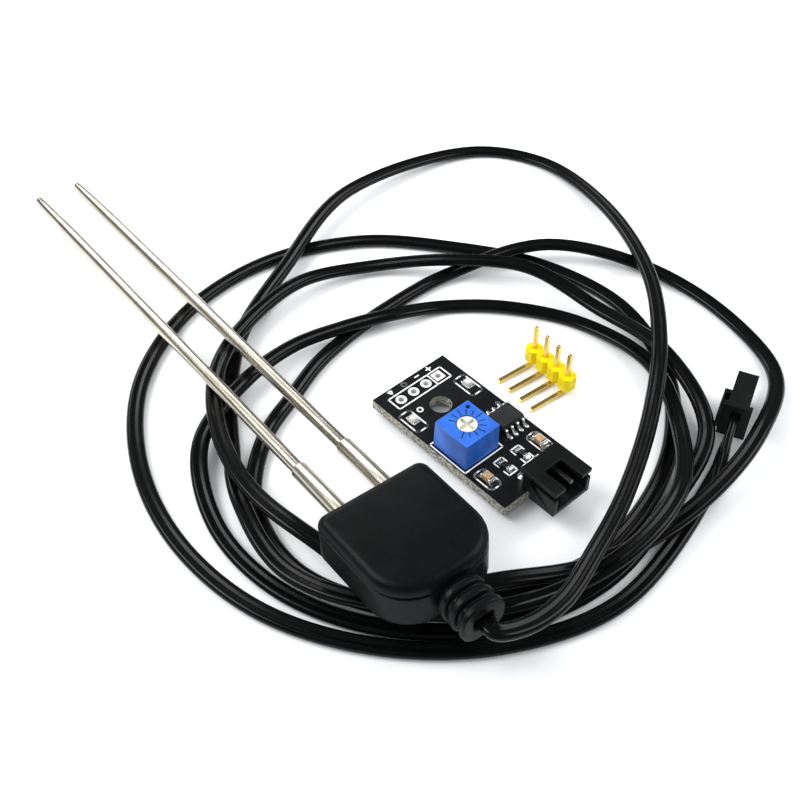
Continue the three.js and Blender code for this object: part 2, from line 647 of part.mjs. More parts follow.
function chip() {
  const [half, low, high] = [CHIP_WIDTH / 2, BOARD_TOP + 0.2, BOARD_TOP + 0.2 + CHIP_HEIGHT];
  const waist = (low + high) / 2;
  const profile = [
    [-half + CHIP_CHAMFER, low],
    [half - CHIP_CHAMFER, low],
    [half, waist],
    [half - CHIP_CHAMFER, high],
    [-half + CHIP_CHAMFER, high],
    [-half, waist],
  ];
  return ribbon(profile, CHIP_LENGTH, CHIP_Y).translate(CHIP_X, 0, 0);
}

// A gull-wing lead: out of the chip's side, down, and along the board.
function chipLead(side, index) {
  const waist = BOARD_TOP + 0.2 + CHIP_HEIGHT / 2;
  const [inner, thick, foot] = [CHIP_WIDTH / 2 + FIT, CHIP_LEAD_THICKNESS, BOARD_TOP + SEAT];
  const bend = inner + CHIP_LEAD_REACH * 0.4;
  const end = inner + CHIP_LEAD_REACH;
  const profile = [
    [inner, waist - thick / 2],
    [bend - thick, waist - thick / 2],
    [bend - thick, foot],
    [end, foot],
    [end, foot + thick],
    [bend, foot + thick],
    [bend, waist + thick / 2],
    [inner, waist + thick / 2],
  ];
  const y = CHIP_Y + (index - 1.5) * CHIP_LEAD_PITCH;
  const lead = ribbon(profile, CHIP_LEAD_WIDTH, 0);
  if (side < 0) lead.rotateZ(Math.PI);
  return lead.translate(CHIP_X, y, 0);
}

// A chip part with raised end caps; middle is its height between the caps.
function chipPart([length, width, height], cap, middle, x, y) {
  const [half, low] = [length / 2, BOARD_TOP + SEAT];
  const profile = [
    [-half, low],
    [half, low],
    [half, low + height],
    [half - cap, low + height],
    [half - cap, low + middle],
    [-half + cap, low + middle],
    [-half + cap, low + height],
    [-half, low + height],
  ];
  return ribbon(profile, width, y).translate(x, 0, 0);
}

// A light: a low base with its clear block between the two end pads.
function lightPart(y) {
  const [length, width, height] = LED_SIZE;
  const [half, low, base] = [length / 2, BOARD_TOP + SEAT, 0.35];
  const profile = [
    [-half, low],
    [half, low],
    [half, low + base],
    [half - 0.35, low + base],
    [half - 0.45, low + height],
    [-half + 0.45, low + height],
    [-half + 0.35, low + base],
    [-half, low + base],
  ];
  return ribbon(profile, width, y).translate(LED_X, 0, 0);
}

function socketHousing() {
  const [width, height, length] = [SOCKET_WIDTH, SOCKET_HEIGHT, SOCKET_LENGTH];
  const [back, mouth] = [SOCKET_BACK_X, SOCKET_BACK_X + SOCKET_LENGTH];
  const low = BOARD_TOP + SEAT;
  const block = box(length, width, height, back + length / 2, SOCKET_Y, low + height / 2);
  const room = box(
    length - SOCKET_BACK_WALL + 1,
    width - 2 * SOCKET_WALL,
    height - 2 * SOCKET_WALL,
    back + SOCKET_BACK_WALL + (length - SOCKET_BACK_WALL + 1) / 2,
    SOCKET_Y,
    low + height / 2,
  );
  const latchSlot = box(
    SOCKET_LATCH_SLOT_LENGTH + 1,
    SOCKET_LATCH_SLOT_WIDTH,
    SOCKET_WALL * 2 + 1,
    mouth - SOCKET_LATCH_SLOT_LENGTH + (SOCKET_LATCH_SLOT_LENGTH + 1) / 2,
    SOCKET_Y,
    low + height,
  );
  const pieces = [room, latchSlot];
  const slitLength = length - SOCKET_BACK_WALL - 0.5;
  for (const side of [-1, 1]) {
    const edge = SOCKET_Y + (side * width) / 2;
    const slitHeight = low + height - SOCKET_WALL - SOCKET_SIDE_SLIT / 2;
    pieces.push(box(slitLength + 1, SOCKET_WALL * 3, SOCKET_SIDE_SLIT, mouth - slitLength / 2 + 0.5, edge, slitHeight));
    const waistLength = SOCKET_BACK_WALL + 0.5;
    const waistHeight = height - SOCKET_WALL;
    pieces.push(
      box(waistLength + 1, SOCKET_WAIST * 2, waistHeight + 1, back + waistLength / 2 - 0.5, edge, low + waistHeight / 2 - 0.5),
    );
    const pinY = SOCKET_Y + (side * PITCH) / 2;
    const hole = SOCKET_PIN + 2 * FIT;
    pieces.push(box(SOCKET_BACK_WALL + 2, hole, hole, back + SOCKET_BACK_WALL / 2, pinY, low + height / 2));
  }
  return cut(block, ...pieces);
}

// An L-shaped pin: along the socket, down behind it and through the board.
function socketPin(side) {
  const half = SOCKET_PIN / 2;
  const axis = BOARD_TOP + SEAT + SOCKET_HEIGHT / 2;
  const tip = SOCKET_BACK_X + SOCKET_LENGTH - SOCKET_PIN_INSET;
  const foot = BOARD_UNDERSIDE - TAIL;
  const profile = [
    [SOCKET_PIN_X - half, foot],
    [SOCKET_PIN_X + half, foot],
    [SOCKET_PIN_X + half, axis - half],
    [tip - 0.3, axis - half],
    [tip, axis - half * 0.5],
    [tip, axis + half * 0.5],
    [tip - 0.3, axis + half],
    [SOCKET_PIN_X + half * 0.4, axis + half],
    [SOCKET_PIN_X - half, axis - half * 0.4],
  ];
  return ribbon(profile, SOCKET_PIN, SOCKET_Y + (side * PITCH) / 2);
}

function buildBoard() {
  const board = new THREE.Group();
  board.position.set(BOARD_X, BOARD_Y, 0);
  board.rotation.z = THREE.MathUtils.degToRad(BOARD_TURN);
  add(board, 'circuit_board', circuitBoard(), BOARD_BLACK);
  add(board, 'trimmer_case', trimmerCase(), BLUE);
  add(board, 'trimmer_rotor', trimmerRotor(), BRASS);
  add(board, 'trimmer_wiper', trimmerWiper(), BRASS);
  add(board, 'trimmer_substrate', trimmerSubstrate(), CERAMIC);
  LEGS.forEach((place, i) => add(board, `trimmer_leg_${i + 1}`, trimmerLeg(place), TIN));
  add(board, 'comparator_chip', chip(), CHIP_BLACK);
  for (let i = 0; i < 4; i += 1) {
    add(board, `chip_lead_${i + 1}`, chipLead(1, i), TIN);
    add(board, `chip_lead_${i + 5}`, chipLead(-1, i), TIN);
  }
  add(board, 'light_signal', lightPart(BOARD_WIDTH - LED_INSET), CLEAR);
  add(board, 'light_power', lightPart(LED_INSET), CLEAR);
  const [middle, capHeight] = [BOARD_WIDTH / 2, CAPACITOR_SIZE[2]];
  add(board, 'capacitor_1', chipPart(CAPACITOR_SIZE, 0.4, capHeight - 0.04, PASSIVE_X, CAPACITOR_INSET), TAN);
  add(board, 'capacitor_2', chipPart(CAPACITOR_SIZE, 0.4, capHeight - 0.04, PASSIVE_X, BOARD_WIDTH - CAPACITOR_INSET), TAN);
  add(board, 'resistor_1', chipPart(RESISTOR_SIZE, 0.3, RESISTOR_SIZE[2] - 0.03, PASSIVE_X, middle - RESISTOR_OFFSET), CHIP_BLACK);
  add(board, 'resistor_2', chipPart(RESISTOR_SIZE, 0.3, RESISTOR_SIZE[2] - 0.03, PASSIVE_X, middle + RESISTOR_OFFSET), CHIP_BLACK);
  add(board, 'socket_housing', socketHousing(), SOFT_BLACK);
  add(board, 'socket_pin_left', socketPin(-1), TIN);
  add(board, 'socket_pin_right', socketPin(1), TIN);
  return board;
}

// ---------------------------------------------------------------- pin header
// x runs along the row, the bent legs point to -y.
const LEG_AXIS = HEADER_PIN / 2;
const BLOCK_FLOOR = LEG_AXIS + HEADER_PIN_DROP;

function headerBlock() {
  const [half, depth, chamfer] = [PITCH / 2, HEADER_BLOCK_WIDTH / 2, HEADER_BLOCK_CHAMFER];
  const [near, far] = [[], []];
  for (let i = 0; i < PADS; i += 1) {
    const x = i * PITCH;
    near.push([x - half, -depth + chamfer], [x - half + chamfer, -depth], [x + half - chamfer, -depth]);
    far.unshift([x + half - chamfer, depth], [x - half + chamfer, depth], [x - half, depth - chamfer]);
  }
  const end = (PADS - 1) * PITCH + half;
  const shape = outline([...near, [end, -depth + chamfer], [end, depth - chamfer], ...far]);
  const side = HEADER_PIN + 2 * FIT;
  const holes = [];
  for (let i = 0; i < PADS; i += 1) {
    holes.push(box(side, side, HEADER_BLOCK_HEIGHT * 2, i * PITCH, 0, BLOCK_FLOOR + HEADER_BLOCK_HEIGHT / 2));
  }
  return cut(prism(shape, HEADER_BLOCK_HEIGHT, BLOCK_FLOOR), ...holes);
}

function headerPin() {
  const half = HEADER_PIN / 2;
  const top = BLOCK_FLOOR + HEADER_BLOCK_HEIGHT + HEADER_PIN_UP;
  const profile = [
    [half, LEG_AXIS - half * 0.2],
    [half, top - 0.35],
    [half * 0.5, top],
    [-half * 0.5, top],
    [-half, top - 0.35],
    [-half, LEG_AXIS + half],
    [-HEADER_PIN_OUT + 0.3, LEG_AXIS + half],
    [-HEADER_PIN_OUT, LEG_AXIS + half * 0.5],
    [-HEADER_PIN_OUT, LEG_AXIS - half * 0.5],
    [-HEADER_PIN_OUT + 0.3, LEG_AXIS - half],
    [half * 0.2, LEG_AXIS - half],
  ];
  return ribbon(profile, HEADER_PIN, 0).rotateZ(Math.PI / 2);
}

function buildHeader() {
  const header = new THREE.Group();
  header.position.set(HEADER_X, HEADER_Y, 0);
  header.rotation.z = THREE.MathUtils.degToRad(HEADER_TURN);
  add(header, 'header_block', headerBlock(), YELLOW);
  for (let i = 0; i < PADS; i += 1) {
    add(header, `header_pin_${i + 1}`, headerPin(), GOLD).position.x = i * PITCH;
  }
  return header;
}

// ---------------------------------------------------------------- the kit
const kit = new THREE.Group();
kit.add(buildProbe());
add(kit, 'lead', lead(), LEAD_BLACK);
kit.add(buildPlug());
kit.add(buildBoard());
kit.add(buildHeader());

export default kit;
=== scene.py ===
# %% [markdown]
# # A soil moisture sensor, piece by piece
#
# The object is a small kit: a probe with two steel needles on a thin twin lead, a black
# circuit board with a blue trimmer and a socket for the lead, and a loose row of header pins.
#
# The solids that carry the real sizes are already there in the frame. This lesson builds what
# the eye sees around them.

# %% Load the frame
import math

import bmesh
import bpy
from mathutils import Matrix, Vector


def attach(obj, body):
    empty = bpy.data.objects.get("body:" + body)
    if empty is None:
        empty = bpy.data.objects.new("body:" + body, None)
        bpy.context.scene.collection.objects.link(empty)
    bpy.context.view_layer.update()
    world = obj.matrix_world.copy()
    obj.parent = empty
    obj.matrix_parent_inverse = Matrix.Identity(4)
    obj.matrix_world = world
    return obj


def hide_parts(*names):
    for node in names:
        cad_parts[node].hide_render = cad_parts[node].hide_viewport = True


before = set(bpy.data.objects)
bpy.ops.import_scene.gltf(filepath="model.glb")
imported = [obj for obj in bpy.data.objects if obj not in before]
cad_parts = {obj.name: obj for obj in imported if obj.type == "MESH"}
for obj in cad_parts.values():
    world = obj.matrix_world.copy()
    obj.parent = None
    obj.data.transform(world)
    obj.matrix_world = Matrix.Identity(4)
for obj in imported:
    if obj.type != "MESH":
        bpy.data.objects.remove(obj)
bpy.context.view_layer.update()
MM = 0.001

# %% [markdown]
# ## The camera first
#
# The camera comes first because the loose lead has to lie inside its view. A camera looks
# along its own -Z, so `to_track_quat` turns that axis towards the target.

# %% Camera
CAMERA_PLACE = Vector((-72.9, -117.75, 131.85)) * MM
CAMERA_TARGET = Vector((2.7, -17.6, 0.0)) * MM
CAMERA_LENS = 53.1
CAMERA_ROLL = math.radians(0.42)

camera_data = bpy.data.cameras.new("camera")
camera_data.lens = CAMERA_LENS
camera_data.sensor_width = 36.0
camera_data.clip_start = 0.005
camera = bpy.data.objects.new("camera", camera_data)
aim = (CAMERA_TARGET - CAMERA_PLACE).to_track_quat("-Z", "Y").to_matrix().to_4x4()
camera.matrix_world = Matrix.Translation(CAMERA_PLACE) @ aim @ Matrix.Rotation(CAMERA_ROLL, 4, "Z")
bpy.context.scene.collection.objects.link(camera)
bpy.context.scene.camera = camera
print("camera distance in mm:", round((CAMERA_TARGET - CAMERA_PLACE).length / MM, 1))

# %% [markdown]
# ## Floor and light
#
# Big area lights give the soft edges of the shadows, and a bright surrounding keeps the floor
# white. The surrounding is dimmer where a glossy surface mirrors it, as black card round a
# product would make it, so that black plastic stays black. The lights differ in size and side,
# to give small glossy pieces something to mirror. The standard view keeps white paper white.

# %% Floor and lights
def area_light(name, place, target, size, power):
    data = bpy.data.lights.new(name, "AREA")
    data.shape = "RECTANGLE"
    data.size, data.size_y = size[0] * MM, size[1] * MM
    data.energy = power
    light = bpy.data.objects.new(name, data)
    start, end = Vector(place) * MM, Vector(target) * MM
    turn = (end - start).to_track_quat("-Z", "Y").to_matrix().to_4x4()
    light.matrix_world = Matrix.Translation(start) @ turn
    bpy.context.scene.collection.objects.link(light)


def plain_material(name, colour, roughness):
    material = bpy.data.materials.new(name)
    material.use_nodes = True
    shader = material.node_tree.nodes["Principled BSDF"]
    shader.inputs["Base Color"].default_value = (*colour, 1.0)
    shader.inputs["Roughness"].default_value = roughness
    return material


floor_mesh = bpy.data.meshes.new("floor")
REACH = 4.0
floor_corners = [(-REACH, -REACH, 0), (REACH, -REACH, 0), (REACH, REACH, 0), (-REACH, REACH, 0)]
floor_mesh.from_pydata(floor_corners, [], [(0, 1, 2, 3)])
floor = bpy.data.objects.new("floor", floor_mesh)
floor.data.materials.append(plain_material("pale_floor", (0.86, 0.87, 0.88), 0.6))
bpy.context.scene.collection.objects.link(floor)

world = bpy.data.worlds.new("studio")
world.use_nodes = True
backdrop = world.node_tree.nodes["Background"]
SKY_COLOUR = (0.97, 0.985, 1.0, 1.0)
backdrop.inputs["Color"].default_value = SKY_COLOUR
SKY_STRENGTH = 0.92
MIRRORED_STRENGTH = 0.16
light_path = world.node_tree.nodes.new("ShaderNodeLightPath")
dimmer = world.node_tree.nodes.new("ShaderNodeMapRange")
dimmer.inputs["To Min"].default_value = SKY_STRENGTH
dimmer.inputs["To Max"].default_value = MIRRORED_STRENGTH
world.node_tree.links.new(light_path.outputs["Is Glossy Ray"], dimmer.inputs["Value"])
world.node_tree.links.new(dimmer.outputs["Result"], backdrop.inputs["Strength"])
bpy.context.scene.world = world
bpy.context.scene.view_settings.view_transform = "Standard"

area_light("key", place=(-220, 160, 330), target=(0, -10, 0), size=(260, 200), power=1.4)
area_light("fill", place=(260, -120, 240), target=(0, -10, 0), size=(240, 200), power=0.7)
area_light("back", place=(60, 330, 200), target=(0, 0, 0), size=(300, 120), power=0.5)

# %% [markdown]
# ## Helpers that turn outlines into meshes
#
# Most of the pieces are mouldings and pressed parts. They are easiest to describe as a stack
# of closed outlines, called rings, that a skin is stretched over. A lathe is the special case
# where every ring is a circle. A `Bevel` with hardened normals then breaks the sharp edges,
# because an edge with no radius never catches the light.

# %% Ring and skin helpers
TINY = 1e-4
POINT_MERGE = 5e-4


def rounded_ring(width, height, radius, corner_steps=4):
    """Points of a rectangle with round corners, centred on the origin, in its own plane."""
    radius = min(radius, width / 2 - TINY, height / 2 - TINY)
    points = []
    for corner, (sx, sy) in enumerate([(1, 1), (-1, 1), (-1, -1), (1, -1)]):
        cx, cy = sx * (width / 2 - radius), sy * (height / 2 - radius)
        for step in range(corner_steps + 1):
            angle = math.radians(90 * corner + 90 * step / corner_steps)
            points.append((cx + radius * math.cos(angle), cy + radius * math.sin(angle)))
    return points


def circle_ring(radius, sides):
    turn = 2 * math.pi / sides
    return [(radius * math.cos(i * turn), radius * math.sin(i * turn)) for i in range(sides)]


def ring_at(outline, z, x=0.0, y=0.0):
    """An outline laid level at one height, moved by x and y."""
    return [(x + px, y + py, z) for px, py in outline]


def join_rows(shape, rows, next_rows):
    """Stretches a band of faces from each row of corners to the next."""
    for low, high in zip(rows, next_rows):
        for i in range(len(low)):
            j = (i + 1) % len(low)
            shape.faces.new((low[i], low[j], high[j], high[i]))


def skin(shape, rings):
    """Joins rings of equal length, each a list of 3-D points, into one closed tube."""
    rows = [[shape.verts.new(point) for point in ring] for ring in rings]
    join_rows(shape, rows, rows[1:])
    shape.faces.new(list(reversed(rows[0])))
    shape.faces.new(rows[-1])


def loop_skin(shape, rings):
    """Joins rings in a loop, the last to the first, so the result is a ring with a hole."""
    rows = [[shape.verts.new(point) for point in ring] for ring in rings]
    join_rows(shape, rows, rows[1:] + rows[:1])


def block(shape, size, centre):
    """A box whose edges a bevel rounds later."""
    place = Matrix.Translation(centre) @ Matrix.Diagonal((*size, 1.0))
    bmesh.ops.create_cube(shape, size=1.0, matrix=place)


def prism(shape, outline, low, high):
    """An outline in X and Y raised from one height to another."""
    skin(shape, [ring_at(outline, z) for z in (low, high)])


def turned(shape, profile, sides=48, axis="Z", centre=(0, 0, 0)):
    """A lathe: profile is a list of (radius, height); radius 0 closes the end to a point."""
    place = Matrix.Translation(centre)
    if axis == "Y":
        place = place @ Matrix.Rotation(-math.pi / 2, 4, "X")
    rings = []
    for radius, height in profile:
        ring = circle_ring(max(radius, TINY), sides)
        rings.append([place @ Vector((x, y, height)) for x, y in ring])
    skin(shape, rings)
    bmesh.ops.remove_doubles(shape, verts=shape.verts, dist=POINT_MERGE)


def ribbon(shape, profile, width, y):
    """A profile in X and Z given a width along Y."""
    rings = [[(x, y + side * width / 2, z) for x, z in profile] for side in (1, -1)]
    skin(shape, rings)


# %% Turning a finished shape into a piece
def in_frame(place_mm, turn):
    """The matrix from a piece's own millimetres to metres in the shared frame."""
    return Matrix.Scale(MM, 4) @ Matrix.Translation(place_mm) @ turn


def piece(name, shape, place, material, body, stands_for=(), bevel=0.0, segments=2, angle=35):
    """Makes one object from a shape in millimetres, and lets it ride on its body."""
    bmesh.ops.recalc_face_normals(shape, faces=shape.faces)
    mesh = bpy.data.meshes.new(name)
    shape.to_mesh(mesh)
    shape.free()
    mesh.transform(place)
    for face in mesh.polygons:
        face.use_smooth = True
    mesh.set_sharp_from_angle(angle=math.radians(angle))
    materials = material if isinstance(material, list) else [material]
    for item in materials:
        mesh.materials.append(item)
    made = bpy.data.objects.new(name, mesh)
    bpy.context.scene.collection.objects.link(made)
    if bevel:
        add_bevel(made, bevel, segments, angle)
    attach(made, body)
    if stands_for:
        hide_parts(*stands_for)
    print(f"{name}: {len(mesh.polygons)} faces")
    return made


def add_bevel(made, width, segments, angle):
    edge = made.modifiers.new("rounded edges", "BEVEL")
    edge.width = width * MM
    edge.segments = segments
    edge.limit_method = "ANGLE"
    edge.angle_limit = math.radians(angle)
    edge.harden_normals = True


# %% [markdown]
# ## Finishes
#
# Moulded plastic is never perfectly smooth: a mould leaves a fine grain, and handling leaves
# faint patches where the gloss differs. Both effects are used by many materials, so each is
# one node group with named inputs, and every material sets its own scale and strength.
# The groups hand out only a height and a roughness, which the shader in the material reads.

# %% Node group: fine grain
def new_group(name, inputs, outputs):
    group = bpy.data.node_groups.new(name, "ShaderNodeTree")
    for label, value in inputs:
        socket = group.interface.new_socket(label, in_out="INPUT", socket_type="NodeSocketFloat")
        socket.default_value = value
    for label, kind in outputs:
        group.interface.new_socket(label, in_out="OUTPUT", socket_type=kind)
    entry = group.nodes.new("NodeGroupInput")
    leave = group.nodes.new("NodeGroupOutput")
    return group, entry, leave


def feed(tree, value, socket):
    """Sets a socket to a number, or links it when the value is itself a socket."""
    if isinstance(value, float):
        socket.default_value = value
    else:
        tree.links.new(value, socket)


def own_coordinates(tree):
    return tree.nodes.new("ShaderNodeTexCoord").outputs["Object"]


def noise_node(tree, coordinates, scale, detail=3.0):
    noise = tree.nodes.new("ShaderNodeTexNoise")
    noise.inputs["Detail"].default_value = detail
    tree.links.new(coordinates, noise.inputs["Vector"])
    feed(tree, scale, noise.inputs["Scale"])
    return noise


def maths(tree, operation, first, second):
    node = tree.nodes.new("ShaderNodeMath")
    node.operation = operation
    for socket, value in zip(node.inputs, (first, second)):
        feed(tree, value, socket)
    return node.outputs[0]


def varied_roughness(group, entry, noise):
    """The roughness that comes in, raised and lowered by slow noise."""
    centred = maths(group, "SUBTRACT", noise.outputs["Fac"], 0.5)
    spread = maths(group, "MULTIPLY", centred, entry.outputs["Variation"])
    return maths(group, "ADD", entry.outputs["Roughness"], spread)


def moulded_grain_group():
    group, entry, leave = new_group(
        "moulded_grain",
        [("Grain Scale", 9000.0), ("Patch Scale", 220.0), ("Roughness", 0.4), ("Variation", 0.12)],
        [("Height", "NodeSocketFloat"), ("Roughness", "NodeSocketFloat")],
    )
    coordinates = own_coordinates(group)
    grain = noise_node(group, coordinates, entry.outputs["Grain Scale"])
    patches = noise_node(group, coordinates, entry.outputs["Patch Scale"])
    group.links.new(grain.outputs["Fac"], leave.inputs["Height"])
    group.links.new(varied_roughness(group, entry, patches), leave.inputs["Roughness"])
    return group


GRAIN = moulded_grain_group()
print("group:", GRAIN.name, [item.name for item in GRAIN.interface.items_tree])

# %% Node group: drawn metal
TONE_SCALE = 160.0


def drawn_metal_group():
    """Fine lines that run one way, as on drawn wire, and a slow change of tone."""
    group, entry, leave = new_group(
        "drawn_metal",
        [("Across", 6000.0), ("Along", 60.0), ("Roughness", 0.2), ("Variation", 0.15)],
        [("Height", "NodeSocketFloat"), ("Roughness", "NodeSocketFloat"), ("Tone", "NodeSocketFloat")],
    )
    coordinates = own_coordinates(group)
    stretch = group.nodes.new("ShaderNodeCombineXYZ")
    group.links.new(entry.outputs["Across"], stretch.inputs["X"])
    group.links.new(entry.outputs["Along"], stretch.inputs["Y"])
    group.links.new(entry.outputs["Across"], stretch.inputs["Z"])
    scaled = group.nodes.new("ShaderNodeVectorMath")
    scaled.operation = "MULTIPLY"
    group.links.new(coordinates, scaled.inputs[0])
    group.links.new(stretch.outputs[0], scaled.inputs[1])
    lines = noise_node(group, scaled.outputs[0], scale=1.0, detail=2.0)
    slow = noise_node(group, coordinates, scale=TONE_SCALE)
    group.links.new(lines.outputs["Fac"], leave.inputs["Height"])
    group.links.new(varied_roughness(group, entry, slow), leave.inputs["Roughness"])
    group.links.new(slow.outputs["Fac"], leave.inputs["Tone"])
    return group


DRAWN = drawn_metal_group()
print("group:", DRAWN.name)

# %% Material makers
RAMP_START, RAMP_END = 0.3, 0.7
CLOUDS_TO_PATCHES = 1.7


def start_material(name, colour, metallic=0.0, specular=0.5):
    material = bpy.data.materials.new(name)
    material.use_nodes = True
    shader = material.node_tree.nodes["Principled BSDF"]
    shader.inputs["Base Color"].default_value = (*colour, 1.0)
    shader.inputs["Metallic"].default_value = metallic
    shader.inputs["Specular IOR Level"].default_value = specular
    return material, material.node_tree, shader


def use_group(tree, group, **values):
    node = tree.nodes.new("ShaderNodeGroup")
    node.node_tree = group
    for label, value in values.items():
        node.inputs[label.replace("_", " ")].default_value = value
    return node


def add_bump(tree, shader, height, depth_mm):
    bump = tree.nodes.new("ShaderNodeBump")
    bump.inputs["Strength"].default_value = 1.0
    bump.inputs["Distance"].default_value = depth_mm * MM
    tree.links.new(height, bump.inputs["Height"])
    tree.links.new(bump.outputs["Normal"], shader.inputs["Normal"])


def tone_ramp(tree, factor, dark, light):
    ramp = tree.nodes.new("ShaderNodeValToRGB")
    stops = ((RAMP_START, dark), (RAMP_END, light))
    for element, (position, colour) in zip(ramp.color_ramp.elements, stops):
        element.position = position
        element.color = (*colour, 1.0)
    tree.links.new(factor, ramp.inputs["Fac"])
    return ramp.outputs["Color"]


def use_outputs(tree, shader, colour, node, depth):
    """Feeds a colour, and a group's roughness and height, to the shader."""
    tree.links.new(colour, shader.inputs["Base Color"])
    tree.links.new(node.outputs["Roughness"], shader.inputs["Roughness"])
    add_bump(tree, shader, node.outputs["Height"], depth)


def moulded(
    name, dark, light, roughness,
    variation=0.12, grain=9000.0, depth=0.01, patch=220.0, specular=0.5,
):
    material, tree, shader = start_material(name, light, specular=specular)
    node = use_group(
        tree, GRAIN, Grain_Scale=grain, Patch_Scale=patch, Roughness=roughness, Variation=variation
    )
    clouds = noise_node(tree, own_coordinates(tree), scale=patch * CLOUDS_TO_PATCHES)
    use_outputs(tree, shader, tone_ramp(tree, clouds.outputs["Fac"], dark, light), node, depth)
    return material


def metal(name, dark, light, roughness, across=6000.0, along=60.0, depth=0.004, variation=0.15):
    material, tree, shader = start_material(name, light, metallic=1.0)
    node = use_group(
        tree, DRAWN, Across=across, Along=along, Roughness=roughness, Variation=variation
    )
    use_outputs(tree, shader, tone_ramp(tree, node.outputs["Tone"], dark, light), node, depth)
    return material


BODY_BLACK = moulded(
    "soft_black_body", (0.002, 0.0026, 0.0028), (0.0034, 0.0042, 0.0045), 0.38,
    grain=7000.0, depth=0.02, specular=0.1,
)
RELIEF_BLACK = moulded(
    "flexible_black", (0.002, 0.0024, 0.0026), (0.0034, 0.004, 0.0043), 0.38, specular=0.12
)
SHEATH_BLACK = moulded(
    "lead_sheath", (0.0014, 0.0016, 0.0017), (0.0024, 0.0028, 0.0028), 0.22,
    variation=0.1, grain=2500.0, specular=0.16,
)
PLUG_BLACK = moulded("plug_black", (0.003, 0.0034, 0.0034), (0.005, 0.0058, 0.0058), 0.36, specular=0.18)
CHIP_BLACK = moulded(
    "chip_resin", (0.009, 0.01, 0.011), (0.016, 0.0175, 0.019), 0.55, grain=5200.0, depth=0.03, specular=0.25
)
TRIMMER_BLUE = moulded("trimmer_blue", (0.012, 0.09, 0.45), (0.02, 0.14, 0.62), 0.34)
HEADER_YELLOW = moulded(
    "header_yellow", (0.66, 0.5, 0.001), (0.8, 0.63, 0.003), 0.3, patch=400.0, specular=0.15
)
CERAMIC_WHITE = moulded("white_ceramic", (0.66, 0.63, 0.55), (0.78, 0.75, 0.66), 0.55)
LEGEND_WHITE = moulded("legend_ink", (0.74, 0.75, 0.74), (0.88, 0.89, 0.88), 0.6, grain=12000.0, depth=0.004)
CAPACITOR_TAN = moulded("capacitor_tan", (0.3, 0.17, 0.08), (0.46, 0.29, 0.15), 0.5, patch=900.0)
RESISTOR_BLACK = moulded("resistor_glaze", (0.008, 0.008, 0.009), (0.02, 0.02, 0.022), 0.25)
STEEL = metal("needle_steel", (0.5, 0.46, 0.38), (0.66, 0.62, 0.53), 0.26, variation=0.08)
TIN = metal("tinned", (0.62, 0.62, 0.6), (0.82, 0.82, 0.8), 0.3, along=2500.0, depth=0.01)
SOLDER = metal("solder", (0.55, 0.55, 0.54), (0.8, 0.8, 0.79), 0.22, across=900.0, along=900.0, depth=0.03)
COPPER = metal("bare_copper", (0.72, 0.36, 0.2), (0.86, 0.46, 0.28), 0.3)
NICKEL = metal("nickelled_brass", (0.6, 0.56, 0.42), (0.78, 0.74, 0.6), 0.26, across=3000.0, along=3000.0)
GOLD = metal("gold_flash", (0.78, 0.55, 0.14), (0.95, 0.74, 0.26), 0.24)
print("materials:", len(bpy.data.materials))

# %% [markdown]
# ## The lead
#
# The lead is a flat twin cable, 2.6 by 1.3 mm: two insulated cores side by side with a groove
# between them. It leaves the probe, makes five passes of a loose coil and ends in the plug.
# A curve with a bevel would twist where the coil climbs over itself, so the lead is a mesh:
# one figure-of-eight outline is carried along a smooth curve and kept level, and it rolls onto
# its edge only in the last stretch, where it enters the plug.

